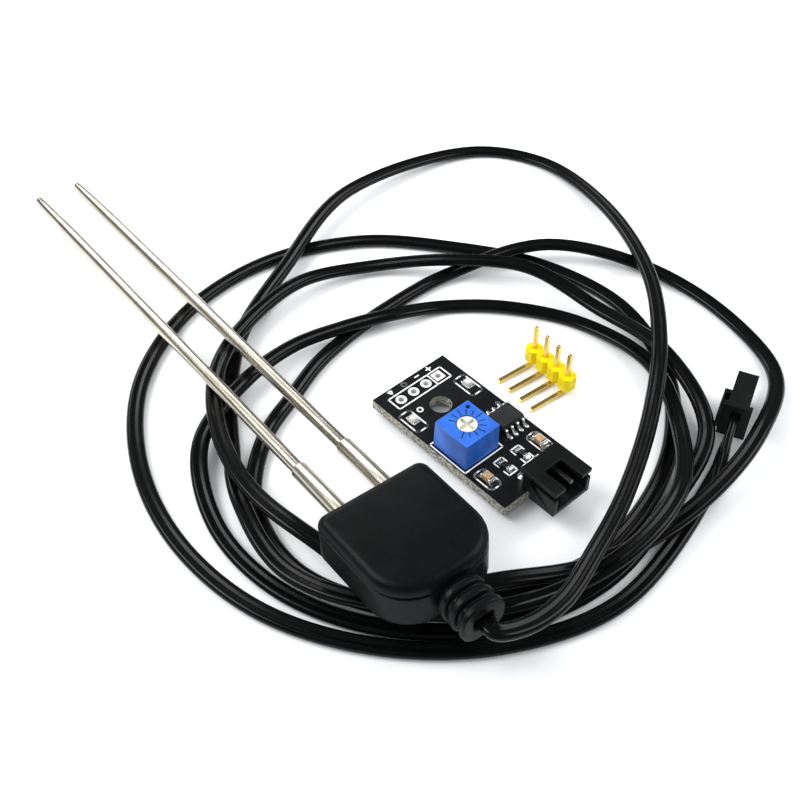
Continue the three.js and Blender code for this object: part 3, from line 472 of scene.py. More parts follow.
# %% The lead's route, in millimetres
LEAD_WIDTH = 2.6
LEAD_HEIGHT = 1.3
LEAD_ROUTE = [
    # out of the strain relief, then once round
    [-17, -61.35, 10.3], [-16.9, -63, 10.4], [-12.7, -64.2, 9.4], [-6.4, -63.7, 8.6], [2.5, -60.2, 7.9],
    [12.4, -55.4, 6.6], [26.8, -46.3, 5.4], [38.7, -36.4, 5.8], [51.2, -21.5, 4.5], [60.5, -0.6, 2],
    [61.2, 15.8, 0.8], [52.7, 26.3, 0.8], [24.6, 27.7, 2.9], [4, 17.2, 2], [-9, 9.4, 0.8],
    [-17.4, -0.5, 0.8], [-23.3, -10.7, 0.9], [-28.4, -22, 2.8], [-29.8, -36, 3.1], [-22.6, -48.6, 4.3],
    # second pass
    [-9.4, -54.3, 4.3], [4.1, -59.1, 2.2], [20.1, -60.9, 3.2], [38.3, -57.3, 4.3], [53.7, -47, 1.2],
    [56.3, -22, 0.8], [43.6, -5.6, 3.2], [26.3, 0.3, 1.2], [13, -0.1, 0.8], [4, -1.8, 0.8],
    [-3.4, -4.1, 0.8], [-10.3, -7.7, 0.8], [-18.7, -12.6, 0.8], [-26.3, -22, 0.8], [-28.3, -35.4, 1.5],
    [-22.3, -48.3, 2.7],
    # third pass
    [-10.5, -57.1, 2.5], [3.8, -61.9, 5.4], [19.3, -59, 5.8], [30.8, -49, 3], [37.7, -35.9, 2.2],
    [36.5, -22, 0.8], [29.1, -11.6, 0.8], [20.7, -5.3, 0.8], [11.9, -3.1, 2.2], [4, -0.9, 2.2],
    [-5.2, 0.3, 2.2], [-15.8, -2.2, 2.4], [-27.3, -9, 2.3], [-32.7, -22, 0.8], [-31.5, -36.7, 0.8],
    [-23.7, -49.7, 0.8],
    # fourth pass
    [-11.2, -58.6, 0.8], [4, -61.4, 0.8], [18.9, -57.9, 0.8], [33.9, -51.5, 2.8], [39.7, -36.8, 4.2],
    [39.8, -22, 2.4], [36.2, -8.7, 3.8], [27.3, 1.3, 3.2], [17, 9.5, 1.4], [4, 11.9, 2.9],
    [-8.7, 8.7, 2.6], [-18.7, 0.7, 3.8], [-24.6, -10.1, 3.8], [-26.7, -22, 4.3], [-24.7, -33.9, 4.4],
    [-19.2, -45.2, 0.8],
    # fifth pass, and into the plug
    [-9, -53.5, 0.8], [4, -57.8, 0.8], [17.9, -55.3, 0.8], [30.4, -48.4, 0.8], [40.2, -37, 0.8],
    [44.7, -22, 0.8], [40.9, -6.7, 0.8], [31.8, 5.8, 0.8], [20, 16.7, 0.8], [4, 21.8, 0.8],
    [-13, 19.1, 0.8], [-27.3, 9.3, 0.8], [-35.8, -5.5, 0.8], [-38.5, -22, 0.8], [-35.2, -38.2, 0.8],
    [-25.7, -51.8, 0.8], [-12.3, -61.2, 0.8], [4.3, -65.1, 0.8], [29.4, -57.7, 1.2], [33.9, -55.2, 2.6],
    [37.6, -53.2, 3.2],
]
print("route points:", len(LEAD_ROUTE))

# %% A smooth curve through the route
FLOOR_CLEARANCE = 0.66
STEPS_PER_SPAN = 12


def tangent_pair(before, start, end, after):
    """Slopes at start and end of one span; knots are spaced by the root of the distance."""
    first = max((start - before).length, 1e-6) ** 0.5
    span = max((end - start).length, 1e-6) ** 0.5
    last = max((after - end).length, 1e-6) ** 0.5
    leave = (start - before) / first - (end - before) / (first + span) + (end - start) / span
    arrive = (end - start) / span - (after - start) / (span + last) + (after - end) / last
    return leave * span, arrive * span


def smooth_route(points, steps):
    points = [Vector(point) for point in points]
    padded = [2 * points[0] - points[1]] + points + [2 * points[-1] - points[-2]]
    places = []
    for before, start, end, after in zip(padded, padded[1:], padded[2:], padded[3:]):
        leave, arrive = tangent_pair(before, start, end, after)
        for step in range(steps):
            t = step / steps
            place = (
                start * (2 * t**3 - 3 * t**2 + 1)
                + leave * (t**3 - 2 * t**2 + t)
                + end * (-2 * t**3 + 3 * t**2)
                + arrive * (t**3 - t**2)
            )
            places.append(place)
    places.append(points[-1])
    for place in places:
        place.z = max(place.z, FLOOR_CLEARANCE)
    return places


lead_places = smooth_route(LEAD_ROUTE, STEPS_PER_SPAN)
lead_length = sum((b - a).length for a, b in zip(lead_places, lead_places[1:]))
print("lead length in mm:", round(lead_length, 1))

# %% The figure-of-eight outline, carried along the route
CORE_SIDE_STEPS = 9
GROOVE_ANGLE = 140
PLUG_ROLL_LENGTH = 16.0


def twin_outline(width, height):
    radius = height / 2
    offset = width / 2 - radius
    points = []
    for side in (1, -1):
        for step in range(CORE_SIDE_STEPS):
            share = step / (CORE_SIDE_STEPS - 1)
            angle = math.radians(-GROOVE_ANGLE + 2 * GROOVE_ANGLE * share)
            points.append((side * (offset + radius * math.cos(angle)), side * radius * math.sin(angle)))
    return points


def lead_rings(places, outline, total):
    rings = []
    travelled = 0.0
    for i, place in enumerate(places):
        before, after = places[max(i - 1, 0)], places[min(i + 1, len(places) - 1)]
        ahead = (after - before).normalized()
        across = ahead.cross(Vector((0, 0, 1))).normalized()
        upward = across.cross(ahead)
        if i:
            travelled += (place - places[i - 1]).length
        left = total - travelled
        share = min(max(1 - left / PLUG_ROLL_LENGTH, 0.0), 1.0)
        roll = math.radians(90) * share * share * (3 - 2 * share)
        wide = across * math.cos(roll) + upward * math.sin(roll)
        thin = upward * math.cos(roll) - across * math.sin(roll)
        rings.append([place + wide * x + thin * y for x, y in outline])
    return rings


lead_shape = bmesh.new()
skin(lead_shape, lead_rings(lead_places, twin_outline(LEAD_WIDTH, LEAD_HEIGHT), lead_length))
WORLD = Matrix.Scale(MM, 4)
lead = piece("lead_cable", lead_shape, WORLD, SHEATH_BLACK, "probe", ["lead"], angle=80)

# %% [markdown]
# ## Cutting shapes
#
# Sockets, slots and holes are easiest as what a tool takes away. Blender's exact Boolean does
# that well on closed meshes, and the result is turned into a plain mesh straight away, so the
# finished piece carries no helper objects.

# %% Boolean helper
CARVED_MERGE = 1e-5
FLAT_ANGLE = math.radians(1)


def temporary(shape, name):
    bmesh.ops.recalc_face_normals(shape, faces=shape.faces)
    mesh = bpy.data.meshes.new(name)
    shape.to_mesh(mesh)
    shape.free()
    made = bpy.data.objects.new(name, mesh)
    bpy.context.scene.collection.objects.link(made)
    return made


def carved(shape, cutters, operation="DIFFERENCE"):
    """The shape with every cutter taken away, or joined on, as a new bmesh."""
    base = temporary(shape, "carving")
    tools = [temporary(cutter, "cutter") for cutter in cutters]
    for tool in tools:
        step = base.modifiers.new("cut", "BOOLEAN")
        step.operation = operation
        step.solver = "EXACT"
        step.object = tool
    bpy.context.view_layer.update()
    seen = base.evaluated_get(bpy.context.evaluated_depsgraph_get())
    result = bmesh.new()
    result.from_mesh(seen.data)
    for item in [base, *tools]:
        bpy.data.objects.remove(item, do_unlink=True)
    bmesh.ops.remove_doubles(result, verts=result.verts, dist=CARVED_MERGE)
    bmesh.ops.dissolve_limit(
        result, angle_limit=FLAT_ANGLE, verts=result.verts, edges=result.edges
    )
    return result


def box_shape(size, centre):
    shape = bmesh.new()
    block(shape, size, centre)
    return shape


def rod_shape(radius, low, high, x=0.0, y=0.0, sides=48):
    shape = bmesh.new()
    skin(shape, [ring_at(circle_ring(radius, sides), z, x, y) for z in (low, high)])
    return shape


# %% [markdown]
# ## The probe body
#
# The body is a black moulded shell with nearly square front corners and wide round ones at the
# back. Its plan is the same from top to bottom apart from the rounding of its long edges, so it
# is a stack of rings that draw in near the top and the bottom. A shallow groove runs round it
# where the two halves of the shell meet.

# %% Probe sizes and frame
PROBE_PLACE = (-16.95, -37.1, 8.39)
PROBE_TILT = math.radians(4.3)
PROBE = in_frame(PROBE_PLACE, Matrix.Rotation(-PROBE_TILT, 4, "X"))
BODY_LENGTH = 18.2
BODY_WIDTH = 17.7
BODY_HEIGHT = 8.0
BODY_EDGE = 1.45
FRONT_RADIUS = 1.7
BACK_RADIUS = 6.4
SMALLEST_CORNER = 0.3
CORNER_STEPS = 8
EDGE_STEPS = 6
SEAM_HEIGHT = 2.05
SEAM_DEPTH = 0.3
SEAM_HALF_FLOOR = 0.15
SEAM_HALF_MOUTH = 0.27


def body_outline(inset):
    """The plan of the body, drawn in from its edge by inset; y = 0 is the front face."""
    points = []
    left, right = -BODY_WIDTH / 2 + inset, BODY_WIDTH / 2 - inset
    back, front = -BODY_LENGTH + inset, -inset
    corners = [
        (right, front, FRONT_RADIUS, 0),
        (left, front, FRONT_RADIUS, 90),
        (left, back, BACK_RADIUS, 180),
        (right, back, BACK_RADIUS, 270),
    ]
    for x, y, full_radius, start in corners:
        radius = max(full_radius - inset, SMALLEST_CORNER)
        middle_y = y - radius if y == front else y + radius
        middle = Vector((x - math.copysign(radius, x), middle_y))
        for step in range(CORNER_STEPS + 1):
            angle = math.radians(start + 90 * step / CORNER_STEPS)
            points.append((middle.x + radius * math.cos(angle), middle.y + radius * math.sin(angle)))
    return points


def body_shape():
    shape = bmesh.new()
    levels = []
    for step in range(EDGE_STEPS + 1):
        angle = math.radians(90 * step / EDGE_STEPS)
        rise = BODY_EDGE * (1 - math.cos(angle))
        levels.append((BODY_EDGE * (1 - math.sin(angle)), -BODY_HEIGHT / 2 + rise))
    seam = [
        (0.0, -SEAM_HALF_MOUTH), (SEAM_DEPTH, -SEAM_HALF_FLOOR),
        (SEAM_DEPTH, SEAM_HALF_FLOOR), (0.0, SEAM_HALF_MOUTH),
    ]
    upper = [(inset, -z) for inset, z in reversed(levels)]
    stack = levels + [(inset, SEAM_HEIGHT + z) for inset, z in seam] + upper
    skin(shape, [ring_at(body_outline(inset), z) for inset, z in stack])
    return shape


piece(
    "probe_shell", body_shape(), PROBE, BODY_BLACK, "probe", ["probe_body"], angle=50
)

# %% [markdown]
# ## Needles, sleeves and strain relief
#
# Needles and sleeves are turned parts, so a lathe profile says everything about them: the
# needle draws in over its last fourteen millimetres and ends in a small dome. The strain
# relief is a stack of collars on a thin neck, which lets it bend a little at each gap.

# %% Needles and sleeves
NEEDLE_X = 3.75
NEEDLE_RADIUS = 1.0
NEEDLE_ROOT = -7.3
NEEDLE_END = 98.5
NEEDLE_TAPER = 14.0
TAPER_STEPS = 4
TAPER_POWER = 1.3
TIP_RADIUS = 0.74
TIP_STEPS = 6
SLEEVE_RADIUS = 1.28
SLEEVE_PLAY = 0.02
SLEEVE_ROOT = -4.1
SLEEVE_END = 11.6
LIP_RADIUS = 1.75
LIP_FLARE = 0.15
LIP_ROOT = -0.5
LIP_HEIGHT = 0.35
LIP_EDGE = 0.12


def needle_profile():
    taper_start = NEEDLE_END - NEEDLE_TAPER
    profile = [(0.0, NEEDLE_ROOT), (NEEDLE_RADIUS, NEEDLE_ROOT), (NEEDLE_RADIUS, taper_start)]
    shoulder = NEEDLE_END - TIP_RADIUS
    for step in range(1, TAPER_STEPS + 1):
        share = step / TAPER_STEPS
        drop = (NEEDLE_RADIUS - TIP_RADIUS) * share**TAPER_POWER
        profile.append((NEEDLE_RADIUS - drop, taper_start + (NEEDLE_TAPER - TIP_RADIUS) * share))
    for step in range(1, TIP_STEPS + 1):
        angle = math.radians(90 * step / TIP_STEPS)
        profile.append((TIP_RADIUS * math.cos(angle), shoulder + TIP_RADIUS * math.sin(angle)))
    return profile


def sleeve_profile():
    inner = NEEDLE_RADIUS + SLEEVE_PLAY
    return [
        (inner, SLEEVE_ROOT),
        (SLEEVE_RADIUS, SLEEVE_ROOT),
        (SLEEVE_RADIUS, SLEEVE_END - 0.25),
        (SLEEVE_RADIUS - 0.08, SLEEVE_END - 0.08),
        (inner + 0.06, SLEEVE_END),
        (inner, SLEEVE_END - 0.05),
    ]


def lip_profile():
    return [
        (SLEEVE_RADIUS, LIP_ROOT),
        (LIP_RADIUS + LIP_FLARE, LIP_ROOT),
        (LIP_RADIUS, LIP_HEIGHT - LIP_EDGE),
        (LIP_RADIUS - LIP_EDGE, LIP_HEIGHT),
        (SLEEVE_RADIUS, LIP_HEIGHT),
    ]


def tube_of(shape, profile, sides, centre):
    """A lathe whose profile is itself a closed loop, so the result is a ring."""
    place = Matrix.Translation(centre) @ Matrix.Rotation(-math.pi / 2, 4, "X")
    rings = []
    for radius, height in profile:
        rings.append([place @ Vector((x, y, height)) for x, y in circle_ring(radius, sides)])
    loop_skin(shape, rings)


for side_name, side in (("left", -1), ("right", 1)):
    root = (side * NEEDLE_X, 0, 0)
    needle_shape = bmesh.new()
    turned(needle_shape, needle_profile(), 48, "Y", root)
    piece(
        f"needle_{side_name}_steel", needle_shape, PROBE, STEEL, "probe",
        [f"needle_{side_name}"],
    )
    sleeve_shape = bmesh.new()
    tube_of(sleeve_shape, sleeve_profile(), 48, root)
    piece(
        f"sleeve_{side_name}_steel", sleeve_shape, PROBE, STEEL, "probe",
        [f"needle_sleeve_{side_name}"],
    )
    lip_shape = bmesh.new()
    tube_of(lip_shape, lip_profile(), 40, root)
    piece(f"lip_{side_name}", lip_shape, PROBE, BODY_BLACK, "probe")

# %% Strain relief
NECK = (4.8, 4.2, 1.2)
COLLAR = (6.8, 6.0, 2.6)
COLLAR_THICKNESS = 1.1
COLLAR_PITCH = 1.9
COLLARS = 3
COLLAR_GAP = 0.8
NECK_ROOT = 1.4
MOUTH = (3.2, 1.9, 0.5)
MOUTH_DEPTH = 2.2
RELIEF_TIP = -BODY_LENGTH - (COLLARS - 1) * COLLAR_PITCH - COLLAR_THICKNESS - COLLAR_GAP


def across_y(size, y):
    width, height, radius = size
    return [(px, y, pz) for px, pz in rounded_ring(width, height, radius, 5)]


def relief_shape():
    shape = bmesh.new()
    rings = [across_y(MOUTH, RELIEF_TIP + MOUTH_DEPTH), across_y(MOUTH, RELIEF_TIP)]
    for i in range(COLLARS):
        near = RELIEF_TIP + i * COLLAR_PITCH
        far = near + COLLAR_THICKNESS
        if i:
            rings.append(across_y(NECK, near))
        rings += [across_y(COLLAR, near), across_y(COLLAR, far), across_y(NECK, far)]
    rings.append(across_y(NECK, -BODY_LENGTH + NECK_ROOT))
    skin(shape, rings)
    return shape


piece(
    "strain_relief_collars", relief_shape(), PROBE, RELIEF_BLACK, "probe",
    ["strain_relief"], bevel=0.34, segments=3,
)

# %% [markdown]
# ## The plug
#
# The plug lies on its narrow side. It is a thin moulding with a flange at the back where the
# lead enters, two cells for the contacts, and a springy latch bar along one broad side. Two
# small windows in that side show the crimped contacts.

# %% Plug
PLUG = in_frame((37.95, -53.0, 0.0), Matrix.Rotation(math.radians(29.7), 4, "Z"))
PLUG_LENGTH = 8.4
PLUG_THICKNESS = 3.1
PLUG_LOW, PLUG_HIGH = 0.25, 6.05
PITCH = 2.54
CELL_HEIGHT = 1.5
CELL_DEPTH = 1.7
PLUG_MIDDLE = (PLUG_LOW + PLUG_HIGH) / 2
CELL_LEVELS = (PLUG_MIDDLE - PITCH / 2, PLUG_MIDDLE + PITCH / 2)
CELL_LENGTH = 7.0
FLANGE_SIZE = (0.9, 4.2, 6.2)
LATCH_LEVEL = PLUG_MIDDLE + 0.2
ARM_SIZE = (6.0, 0.6, 2.4)
BRIDGE_SIZE = (1.2, 1.0, 2.4)
WINDOW_SIZE = (3.2, 1.6, 1.1)
ENTRY_SIZE = (1.0, 1.5, 1.5)


def plug_shape():
    front_size = (PLUG_LENGTH, PLUG_THICKNESS, PLUG_HIGH - PLUG_LOW)
    front = box_shape(front_size, (PLUG_LENGTH / 2, 0, PLUG_MIDDLE))
    flange = box_shape(FLANGE_SIZE, (FLANGE_SIZE[0] / 2, 0, PLUG_MIDDLE))
    arm = box_shape(ARM_SIZE, (2.1, 2.35, LATCH_LEVEL))
    bridge = box_shape(BRIDGE_SIZE, (4.5, 1.9, LATCH_LEVEL))
    joined = carved(front, [flange, arm, bridge], "UNION")
    cutters = []
    for level in CELL_LEVELS:
        cutters.append(box_shape((CELL_LENGTH, CELL_DEPTH, CELL_HEIGHT), (PLUG_LENGTH - 3.0, 0, level)))
        cutters.append(box_shape(WINDOW_SIZE, (2.6, 1.5, level)))
        cutters.append(box_shape(ENTRY_SIZE, (0.1, 0, level)))
    cutters.append(box_shape((1.0, PLUG_THICKNESS + 1, 0.7), (PLUG_LENGTH, 0, PLUG_HIGH)))
    return carved(joined, cutters)


plug = piece(
    "plug_moulding", plug_shape(), PLUG, PLUG_BLACK, "probe", ["plug_housing"],
    bevel=0.12,
)

# %% The contacts in the plug
def contact_shape(level):
    shape = box_shape((5.0, 1.3, 1.1), (5.0, 0, level))
    mouth = box_shape((3.0, 0.9, 0.7), (7.0, 0, level))
    crimp = box_shape((2.0, 1.5, 1.0), (1.9, 0.35, level))
    return carved(carved(shape, [mouth]), [crimp], "UNION")


for label, level in zip(("lower", "upper"), CELL_LEVELS):
    contact = piece(
        f"contact_{label}", contact_shape(level), PLUG, TIN, "probe",
        [f"plug_contact_{label}"], bevel=0.08,
    )

# %% [markdown]
# ## The circuit board
#
# The board is black solder mask over a glass laminate, whose cut edge shows pale specks of
# glass. Its holes are cut with the Boolean helper. The pads are thin tinned rings that stand a
# few hundredths of a millimetre proud, and the white legend is a layer of its own, because ink
# has thickness and a different gloss.

# %% Board frame, laminate and its edge finish
BOARD = in_frame((-2.2, -17.2, 0.0), Matrix.Rotation(math.radians(-84.6), 4, "Z"))
BOARD_LENGTH = 27.9
BOARD_WIDTH = 14.6
BOARD_LOW = 1.1
BOARD_TOP = 2.7
PAD_X = 2.85
PAD_FIRST_Y = 3.29
PADS = 4
PAD_DRILL_RADIUS = 0.5
FIXING = (7.55, 7.1)
FIXING_RADIUS = 1.7
VIA = (6.25, 4.0)
VIA_DRILL_RADIUS = 0.35
DRILL_LOW, DRILL_HIGH = 0, 4
MASK = moulded(
    "black_solder_mask", (0.004, 0.0045, 0.005), (0.008, 0.0085, 0.009), 0.32,
    grain=1500.0, depth=0.012, patch=150.0, specular=0.14,
)


def laminate_edge():
    material, tree, shader = start_material("laminate_edge", (0.2, 0.19, 0.16))
    specks = noise_node(tree, own_coordinates(tree), scale=2600.0, detail=2.0)
    tree.links.new(
        tone_ramp(tree, specks.outputs["Fac"], (0.012, 0.012, 0.012), (0.52, 0.5, 0.42)),
        shader.inputs["Base Color"],
    )
    shader.inputs["Roughness"].default_value = 0.7
    return material


EDGE = laminate_edge()


def drilled(radius, x, y, sides):
    return rod_shape(radius, DRILL_LOW, DRILL_HIGH, x, y, sides)


def board_shape():
    thickness = BOARD_TOP - BOARD_LOW
    middle = (BOARD_LENGTH / 2, BOARD_WIDTH / 2, BOARD_LOW + thickness / 2)
    base = box_shape((BOARD_LENGTH, BOARD_WIDTH, thickness), middle)
    holes = [drilled(PAD_DRILL_RADIUS, PAD_X, PAD_FIRST_Y + i * PITCH, 32) for i in range(PADS)]
    holes.append(drilled(FIXING_RADIUS, *FIXING, 64))
    holes.append(drilled(VIA_DRILL_RADIUS, *VIA, 24))
    return carved(base, holes)


board = piece(
    "board_laminate", board_shape(), BOARD, [MASK, EDGE], "board", ["circuit_board"]
)
for face in board.data.polygons:
    if abs(face.normal.z) < 0.5:
        face.material_index = 1
print("edge faces:", sum(1 for face in board.data.polygons if face.material_index))

# %% Pads, one square and the rest round
PAD_RADIUS = 0.88
PAD_HOLE_RADIUS = 0.47
BARREL_RADIUS = 0.52
PAD_PROUD = 0.05
PAD_SUNK = 0.02
VIA_RADIUS = 0.55
VIA_HOLE_RADIUS = 0.3


def ring_plate(shape, outer, inner, low, high, x, y):
    """A flat ring: outer and inner outlines of equal length, with a hole through it."""
    section = ((inner, low), (outer, low), (outer, high), (inner, high))
    loop_skin(shape, [ring_at(outline, z, x, y) for outline, z in section])


pads = bmesh.new()
hole_outline = circle_ring(PAD_HOLE_RADIUS, 40)
barrel = circle_ring(BARREL_RADIUS, 40)
for i in range(PADS):
    pad_y = PAD_FIRST_Y + i * PITCH
    pad_outline = circle_ring(PAD_RADIUS, 40)
    if i == PADS - 1:
        pad_outline = rounded_ring(2 * PAD_RADIUS, 2 * PAD_RADIUS, 0.08, 9)
    top_layer = (BOARD_TOP - PAD_SUNK, BOARD_TOP + PAD_PROUD)
    under_layer = (BOARD_LOW - PAD_PROUD, BOARD_LOW + PAD_SUNK)
    for low, high in (top_layer, under_layer):
        ring_plate(pads, pad_outline, hole_outline, low, high, PAD_X, pad_y)
    ring_plate(pads, barrel, hole_outline, BOARD_LOW, BOARD_TOP, PAD_X, pad_y)
via_outlines = (circle_ring(VIA_RADIUS, 24), circle_ring(VIA_HOLE_RADIUS, 24))
ring_plate(pads, *via_outlines, BOARD_TOP - PAD_SUNK, BOARD_TOP + PAD_SUNK, *VIA)
PAD_TIN = moulded("pad_tin", (0.55, 0.55, 0.52), (0.74, 0.74, 0.71), 0.3, grain=3000.0)
piece("board_pads", pads, BOARD, PAD_TIN, "board")

# %% [markdown]
# ## The white legend
#
# The legend is drawn as strokes: each stroke is a thin flat bar of ink from one point to the
# next. Round shapes are many short strokes. Marks beside the pads are simple signs, a plus,
# a minus, a ring and a triangle, which say enough without words.

# %% Strokes of ink
INK_WIDTH = 0.23
INK_HEIGHT = 0.025
STROKE_OVERLAP = 0.9


def stroke(shape, points, width=INK_WIDTH, level=BOARD_TOP):
    for (x1, y1), (x2, y2) in zip(points, points[1:]):
        length = math.hypot(x2 - x1, y2 - y1)
        turn = Matrix.Rotation(math.atan2(y2 - y1, x2 - x1), 4, "Z")
        middle = Matrix.Translation(((x1 + x2) / 2, (y1 + y2) / 2, level))
        size = Matrix.Diagonal((length + width * STROKE_OVERLAP, width, 2 * INK_HEIGHT, 1.0))
        bmesh.ops.create_cube(shape, size=1.0, matrix=middle @ turn @ size)


def rectangle(x1, y1, x2, y2):
    return [(x1, y1), (x2, y1), (x2, y2), (x1, y2), (x1, y1)]


def arc_points(x, y, radius, start, end, steps=16):
    angles = [math.radians(start + (end - start) * i / steps) for i in range(steps + 1)]
    return [(x + radius * math.cos(a), y + radius * math.sin(a)) for a in angles]


def bracket_pair(shape, x, y, half_length, half_width, gap):
    """Two square brackets that face each other along X."""
    low, high = y - half_width, y + half_width
    for side in (-1, 1):
        end, inner = x + side * half_length, x + side * gap
        stroke(shape, [(inner, low), (end, low), (end, high), (inner, high)])


def rounded_outline(shape, x, y, half_length, half_width, radius):
    outline = rounded_ring(2 * half_length, 2 * half_width, radius, 5)
    points = [(x + px, y + py) for px, py in outline]
    stroke(shape, points + points[:1])


LIGHT_X = 7.3
LIGHT_INSET = 1.65
PASSIVE_X = 22.6
CAPACITOR_INSET = 1.95
RESISTOR_OFFSET = 1.75
TRIMMER = (16.0, 4.05)

legend = bmesh.new()
stroke(legend, rectangle(1.6, 1.8, 4.2, 12.45))
stroke(legend, [(1.6, 9.7), (4.2, 9.7)])
stroke(legend, [(0.35, 10.8), (1.15, 10.8)])
stroke(legend, [(0.75, 10.4), (0.75, 11.2)])
stroke(legend, [(0.75, 8.0), (0.75, 8.7)])
stroke(legend, arc_points(0.75, 5.7, 0.38, 0, 360))
stroke(legend, [(0.4, 2.7), (1.1, 3.05), (0.4, 3.4), (0.4, 2.7)])
for light_y in (LIGHT_INSET, BOARD_WIDTH - LIGHT_INSET):
    rounded_outline(legend, LIGHT_X + 0.05, light_y, 2.15, 1.1, 0.5)
    rounded_outline(legend, PASSIVE_X, light_y + math.copysign(0.25, 7 - light_y), 1.9, 1.1, 0.7)
for side in (-1, 1):
    bracket_pair(legend, PASSIVE_X, BOARD_WIDTH / 2 + side * RESISTOR_OFFSET, 1.6, 0.85, 0.55)
stroke(legend, rectangle(TRIMMER[0] - 3.65, TRIMMER[1] - 3.75, TRIMMER[0] + 3.7, TRIMMER[1] + 3.95))
stroke(legend, arc_points(13.1, 13.6, 0.22, 0, 360, 10))
piece("board_legend", legend, BOARD, LEGEND_WHITE, "board", angle=60)

# %% [markdown]
# ## The trimmer
#
# The trimmer is a blue block with a round dial let into its top. A screwdriver turns the dial
# by its cross slot, so the dial rides on a body of its own and must not touch the case. The
# block is slightly wider at its foot, as mouldings are, so that it leaves its mould.

# %% Trimmer case with its dial marks
CASE_LOW = BOARD_TOP + 0.1
CASE_HIGH = CASE_LOW + 4.75
CASE_FOOT = 6.8
CASE_TOP = 6.6
DIAL_HOLE_RADIUS = 1.64
CASE_WALL = 0.72
CASE_CORNER = 0.12
CASE_ROOF = 1.05
TRIMMER_FRAME = BOARD @ Matrix.Translation((*TRIMMER, 0))


def case_shape():
    shape = bmesh.new()
    levels = ((CASE_LOW, CASE_FOOT), (CASE_HIGH, CASE_TOP))
    skin(shape, [ring_at(rounded_ring(size, size, CASE_CORNER, 2), z) for z, size in levels])
    room = box_shape(
        (CASE_TOP - 2 * CASE_WALL, CASE_TOP - 2 * CASE_WALL, CASE_HIGH - CASE_LOW),
        (0, 0, (CASE_LOW + CASE_HIGH) / 2 - CASE_ROOF),
    )
    return carved(shape, [room, rod_shape(DIAL_HOLE_RADIUS, CASE_HIGH - 2, CASE_HIGH + 1, sides=64)])


piece(
    "trimmer_block", case_shape(), TRIMMER_FRAME, TRIMMER_BLUE, "board",
    ["trimmer_case"], bevel=0.13,
)

DIAL_INK = moulded("dial_ink", (0.004, 0.012, 0.06), (0.008, 0.02, 0.09), 0.4)
dial_marks = bmesh.new()
DIAL_TICKS = 12
FIRST_TICK = -60
TICK_SWEEP = 300
TICK_START, TICK_END, LONG_TICK_END = 1.8, 2.65, 2.95
TICK_WIDTH = 0.16
for mark in range(DIAL_TICKS):
    angle = math.radians(FIRST_TICK + TICK_SWEEP / DIAL_TICKS * mark)
    far = TICK_END if mark % 3 else LONG_TICK_END
    tick = [(reach * math.cos(angle), reach * math.sin(angle)) for reach in (TICK_START, far)]
    stroke(dial_marks, tick, TICK_WIDTH, CASE_HIGH)
stroke(dial_marks, arc_points(-2.3, 2.35, 0.2, 0, 360, 10), 0.22, CASE_HIGH)
piece("dial_marks", dial_marks, TRIMMER_FRAME, DIAL_INK, "board", angle=60)

# %% The dial with its cross slot
DIAL_RADIUS = 1.5
DIAL_TOP = CASE_HIGH - 0.12
SLOT_WIDTH = 0.6
SLOT_SHARE = 1.8
SLOT_HEIGHT = 1.4
FLANGE_RADIUS = 2.08
FLANGE_LOW = 5.54
FLANGE_HIGH = 6.38
SPINDLE_RADIUS = 0.59
SPINDLE_LOW = 5.02


def dial_shape():
    shape = bmesh.new()
    profile = [
        (0.0, SPINDLE_LOW), (SPINDLE_RADIUS, SPINDLE_LOW), (SPINDLE_RADIUS, FLANGE_LOW),
        (FLANGE_RADIUS, FLANGE_LOW), (FLANGE_RADIUS, FLANGE_HIGH), (DIAL_RADIUS, FLANGE_HIGH),
        (DIAL_RADIUS, DIAL_TOP), (0.0, DIAL_TOP),
    ]
    turned(shape, profile, 64)
    slots = []
    size = Matrix.Diagonal((DIAL_RADIUS * SLOT_SHARE, SLOT_WIDTH, SLOT_HEIGHT, 1.0))
    for quarter in (0, 1):
        bar = bmesh.new()
        turn = Matrix.Rotation(math.radians(90 * quarter), 4, "Z")
        bmesh.ops.create_cube(bar, size=1.0, matrix=turn @ Matrix.Translation((0, 0, DIAL_TOP)) @ size)
        slots.append(bar)
    return carved(shape, slots)


DIAL_CREAM = moulded("dial_cream", (0.62, 0.61, 0.53), (0.78, 0.77, 0.68), 0.4)
piece(
    "trimmer_dial_head", dial_shape(), TRIMMER_FRAME, DIAL_CREAM, "trimmer_dial",
    ["trimmer_rotor"], bevel=0.06,
)

# %% [markdown]
# ## The chip and its leads
#
# A surface-mount chip has eight leads in two rows. They repeat exactly, so one lead is drawn
# and a Geometry Nodes tree lays copies along a line. The tree has named inputs for how many
# copies there are and how far apart, and it ends in Realize Instances and Set Material, so the
# result is one plain mesh.

